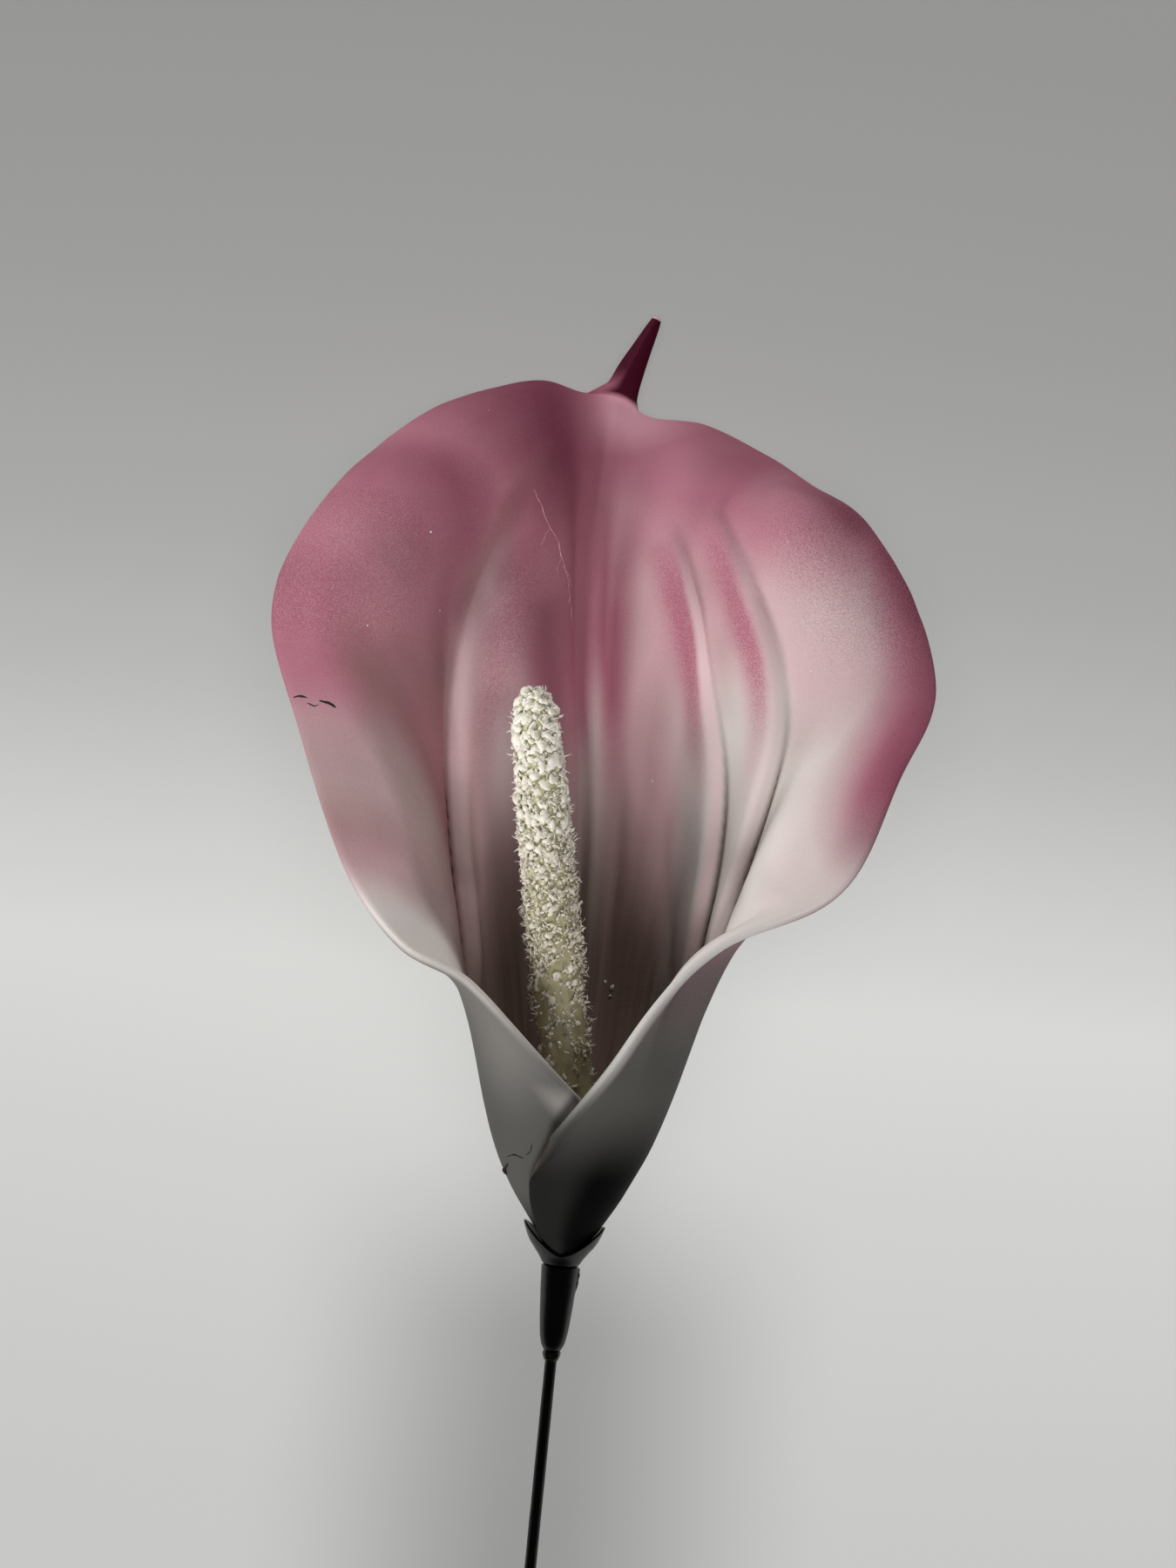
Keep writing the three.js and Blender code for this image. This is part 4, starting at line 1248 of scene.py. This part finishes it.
def floor_material():
    """Pale seamless paper with painted light: lightest under the spathe in a painted pool of light, darker at the
    far end, and a painted soft shadow along the stem.
    """
    material, shader, coords = new_material("Pale paper")
    place = put("SeparateXYZ", coords, out=1)
    # Painted light: the paper's paleness along the table is a painted pool of light and its falloff
    base = put("ValToRGB", put("MapRange", place, PAPER_FROM, PAPER_TO))
    stops = base.node.color_ramp.elements
    stops[1].position = 1.0
    for at, _ in PAPER_PAINTED_LIGHT[1:-1]:
        stops.new((at - PAPER_FROM) / (PAPER_TO - PAPER_FROM))
    for stop, (_, grey) in zip(stops, PAPER_PAINTED_LIGHT):
        stop.color = (grey * 1.02, grey, grey * 0.975, 1.0)
    # Painted shadow: a soft dark band on the paper along the stem, fading out toward the stem's end
    from_stem = put("Math", minus(put("SeparateXYZ", coords), FLOWER_PLACE[0] * MM), operation="ABSOLUTE")
    shade = times(ramp(from_stem, 0.044, 0.0), ramp(place, 0.056, 0.022, 0.0, 0.46))
    base = mix(times(shade, ramp(place, -0.17, -0.03)), base, (0.02, 0.02, 0.02))
    base = mix(times(speckle(coords, 900.0, 4.0), 0.03), base, (0.5, 0.5, 0.48))
    # The paper throws little light back on the flower
    bounce = coords.id_data.nodes.new("ShaderNodeLightPath").outputs["Is Diffuse Ray"]
    feed(shader["Base Color"], mix(bounce, base, (0.1, 0.1, 0.1)))
    shader["Roughness"].default_value = 0.9
    shader["Specular IOR Level"].default_value = 0.1
    return material


# ---- Build ----

grid = spathe_grid()
make_piece("spathe_sheet", spathe_mesh(grid), spathe_material(), "spathe_foam", "spathe")
scuffed = mark_material("Scuffed foam", (0.50, 0.20, 0.25), (0.74, 0.44, 0.48))
make_piece("raised_scratch", lines_mesh(grid, SCRATCHES), scuffed, "spathe_foam")
# Painted shade: near-black lines for the shade inside cracks and creases
crack_shade = mark_material("Painted crack shade", (0.010, 0.010, 0.009), (0.036, 0.033, 0.030))
make_piece("dark_creases", lines_mesh(grid, CRACK_SHADE_LINES), crack_shade, "spathe_foam")

make_piece("spadix_foam_core", core_mesh(), core_material(), "core_foam", "spadix_core")
crumb_foam = crumb_material()
make_piece("spadix_crumb_coat", crumb_mesh(), crumb_foam, "crumb_foam", "spadix_crumbs")
slivers = joined(shreds(np.random.default_rng(SHRED_SEED), SHREDS))
make_piece("spadix_foam_shreds", slivers, crumb_foam, "crumb_foam")
turn, depth, size = np.array(LOOSE_CRUMBS).T
fallen_on = on_sheet(grid, np.stack([turn, depth], 1), 1)
points, faces, tone = crumbs(np.random.default_rng(FALLEN_SEED), 2, *fallen_on, size)
# Painted shade: crumbs that lie deep in the throat take the darker crumb colour
masks = {"tone": tone, "place": np.repeat(np.where(depth > 80, 0.6, 1.0), len(tone) // len(size))}
make_piece("loose_crumbs", (points, faces.tolist(), masks), crumb_foam, "crumb_foam")

# Piece, its section, turns round the axis, material, slot and the CAD node that it replaces
for name, section, turns, material, slot, node in (
    ("calyx_shell", cup_section, 160, plastic_material(
        "Calyx plastic", (0.0016, 0.0026, 0.0014), (0.004, 0.0062, 0.0034), 0.3, 0.42, 0.012, (700, 120, 700),
    ), "calyx_plastic", "calyx_cup"),
    ("sleeve_moulding", sleeve_section, 200, plastic_material(
        "Sleeve plastic", (0.0010, 0.0020, 0.0010), (0.0026, 0.0048, 0.0024), 0.28, 0.4, 0.012, (900, 90, 900),
    ), "sleeve_plastic", "stem_sleeve"),
    ("glue_drop", glue_section, 96, glue_material(), "glue", "glue_bead"),
    ("stem_skin", coating_section, 36, plastic_material(
        "Stem coating", (0.0016, 0.0032, 0.0016), (0.004, 0.0072, 0.0036), 0.36, 0.5, 0.015, (2400, 60, 2400),
    ), "stem_plastic", "stem_coating"),
):
    make_piece(name, turned_skin(section, turns), material, slot, node)
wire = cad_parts["stem_wire"]
wire.data.materials.clear()
wire.data.materials.append(wire_material())


# ---- Stage ----

def lit_only(light, objects, shadows_from=None):
    """The light falls on these objects alone, and only those in shadows_from, if it is given, block it."""
    def gathered(label, members):
        group = bpy.data.collections.new(light.name + label)
        for o in members:
            group.objects.link(o)
        return group

    light.light_linking.receiver_collection = gathered(" falls on", objects)
    if shadows_from is not None:
        light.light_linking.blocker_collection = gathered(" is blocked by", shadows_from)


def add_floor():
    mesh = bpy.data.meshes.new("floor")
    size = 3.0
    mesh.from_pydata([(-size, -size, 0), (size, -size, 0), (size, size, 0), (-size, size, 0)], [], [(0, 1, 2, 3)])
    floor = placed("floor", mesh)
    floor.data.materials.append(floor_material())
    floor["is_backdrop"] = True
    return floor


def add_light(name, direction, size, power, tint, distance):
    """Soft panel that faces the flower; the direction is the flower's own: right, up along it, to its front."""
    data = bpy.data.lights.new(name, "AREA")
    data.shape = "SQUARE"
    data.size = size
    data.energy = power
    data.color = tint
    light = placed(name, data)
    aim = Vector(LIGHT_AIM)
    light.location = aim + (LAID.to_3x3() @ Vector(direction)).normalized() * distance
    light.rotation_mode = "QUATERNION"
    light.rotation_quaternion = (aim - light.location).to_track_quat("-Z", "Y")
    return light


def add_camera():
    data = bpy.data.cameras.new("camera")
    camera = placed("camera", data)
    data.sensor_fit = "VERTICAL"
    data.sensor_height = 36
    data.lens = CAMERA_LENS
    data.clip_start, data.clip_end = 0.01, 20
    stand = LAID @ Matrix.Translation(CAMERA_PLACE) @ Matrix.Rotation(math.radians(CAMERA_TURN), 4, "Z")
    turn = stand.to_3x3().to_4x4()
    camera.matrix_world = Matrix.Translation(stand.to_translation() * MM) @ turn
    bpy.context.scene.camera = camera


def set_world():
    world = bpy.data.worlds.new("studio")
    bpy.context.scene.world = world
    world.use_nodes = True
    back = world.node_tree.nodes["Background"]
    back.inputs[0].default_value = (0.93, 0.95, 1.0, 1.0)
    back.inputs[1].default_value = 0.03


floor = add_floor()
soft_parts = [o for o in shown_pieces() if o.name.startswith(("spathe", "spadix", "raised", "dark", "loose"))]
for name, direction, size, power in PANELS:
    lit_only(add_light(name, direction, size, power, PANEL_LIGHT, PANEL_AWAY), soft_parts)
lit_only(add_light("soft light on the paper", *PAPER_PANEL, 12.6, PAPER_LIGHT, PAPER_AWAY), [floor], [floor])
lit_only(add_light("light that leaves a faint shadow", *PAPER_PANEL, 1.7, PAPER_LIGHT, PAPER_AWAY), [floor])
add_camera()
set_world()
bpy.context.scene.view_settings.view_transform = "Standard"
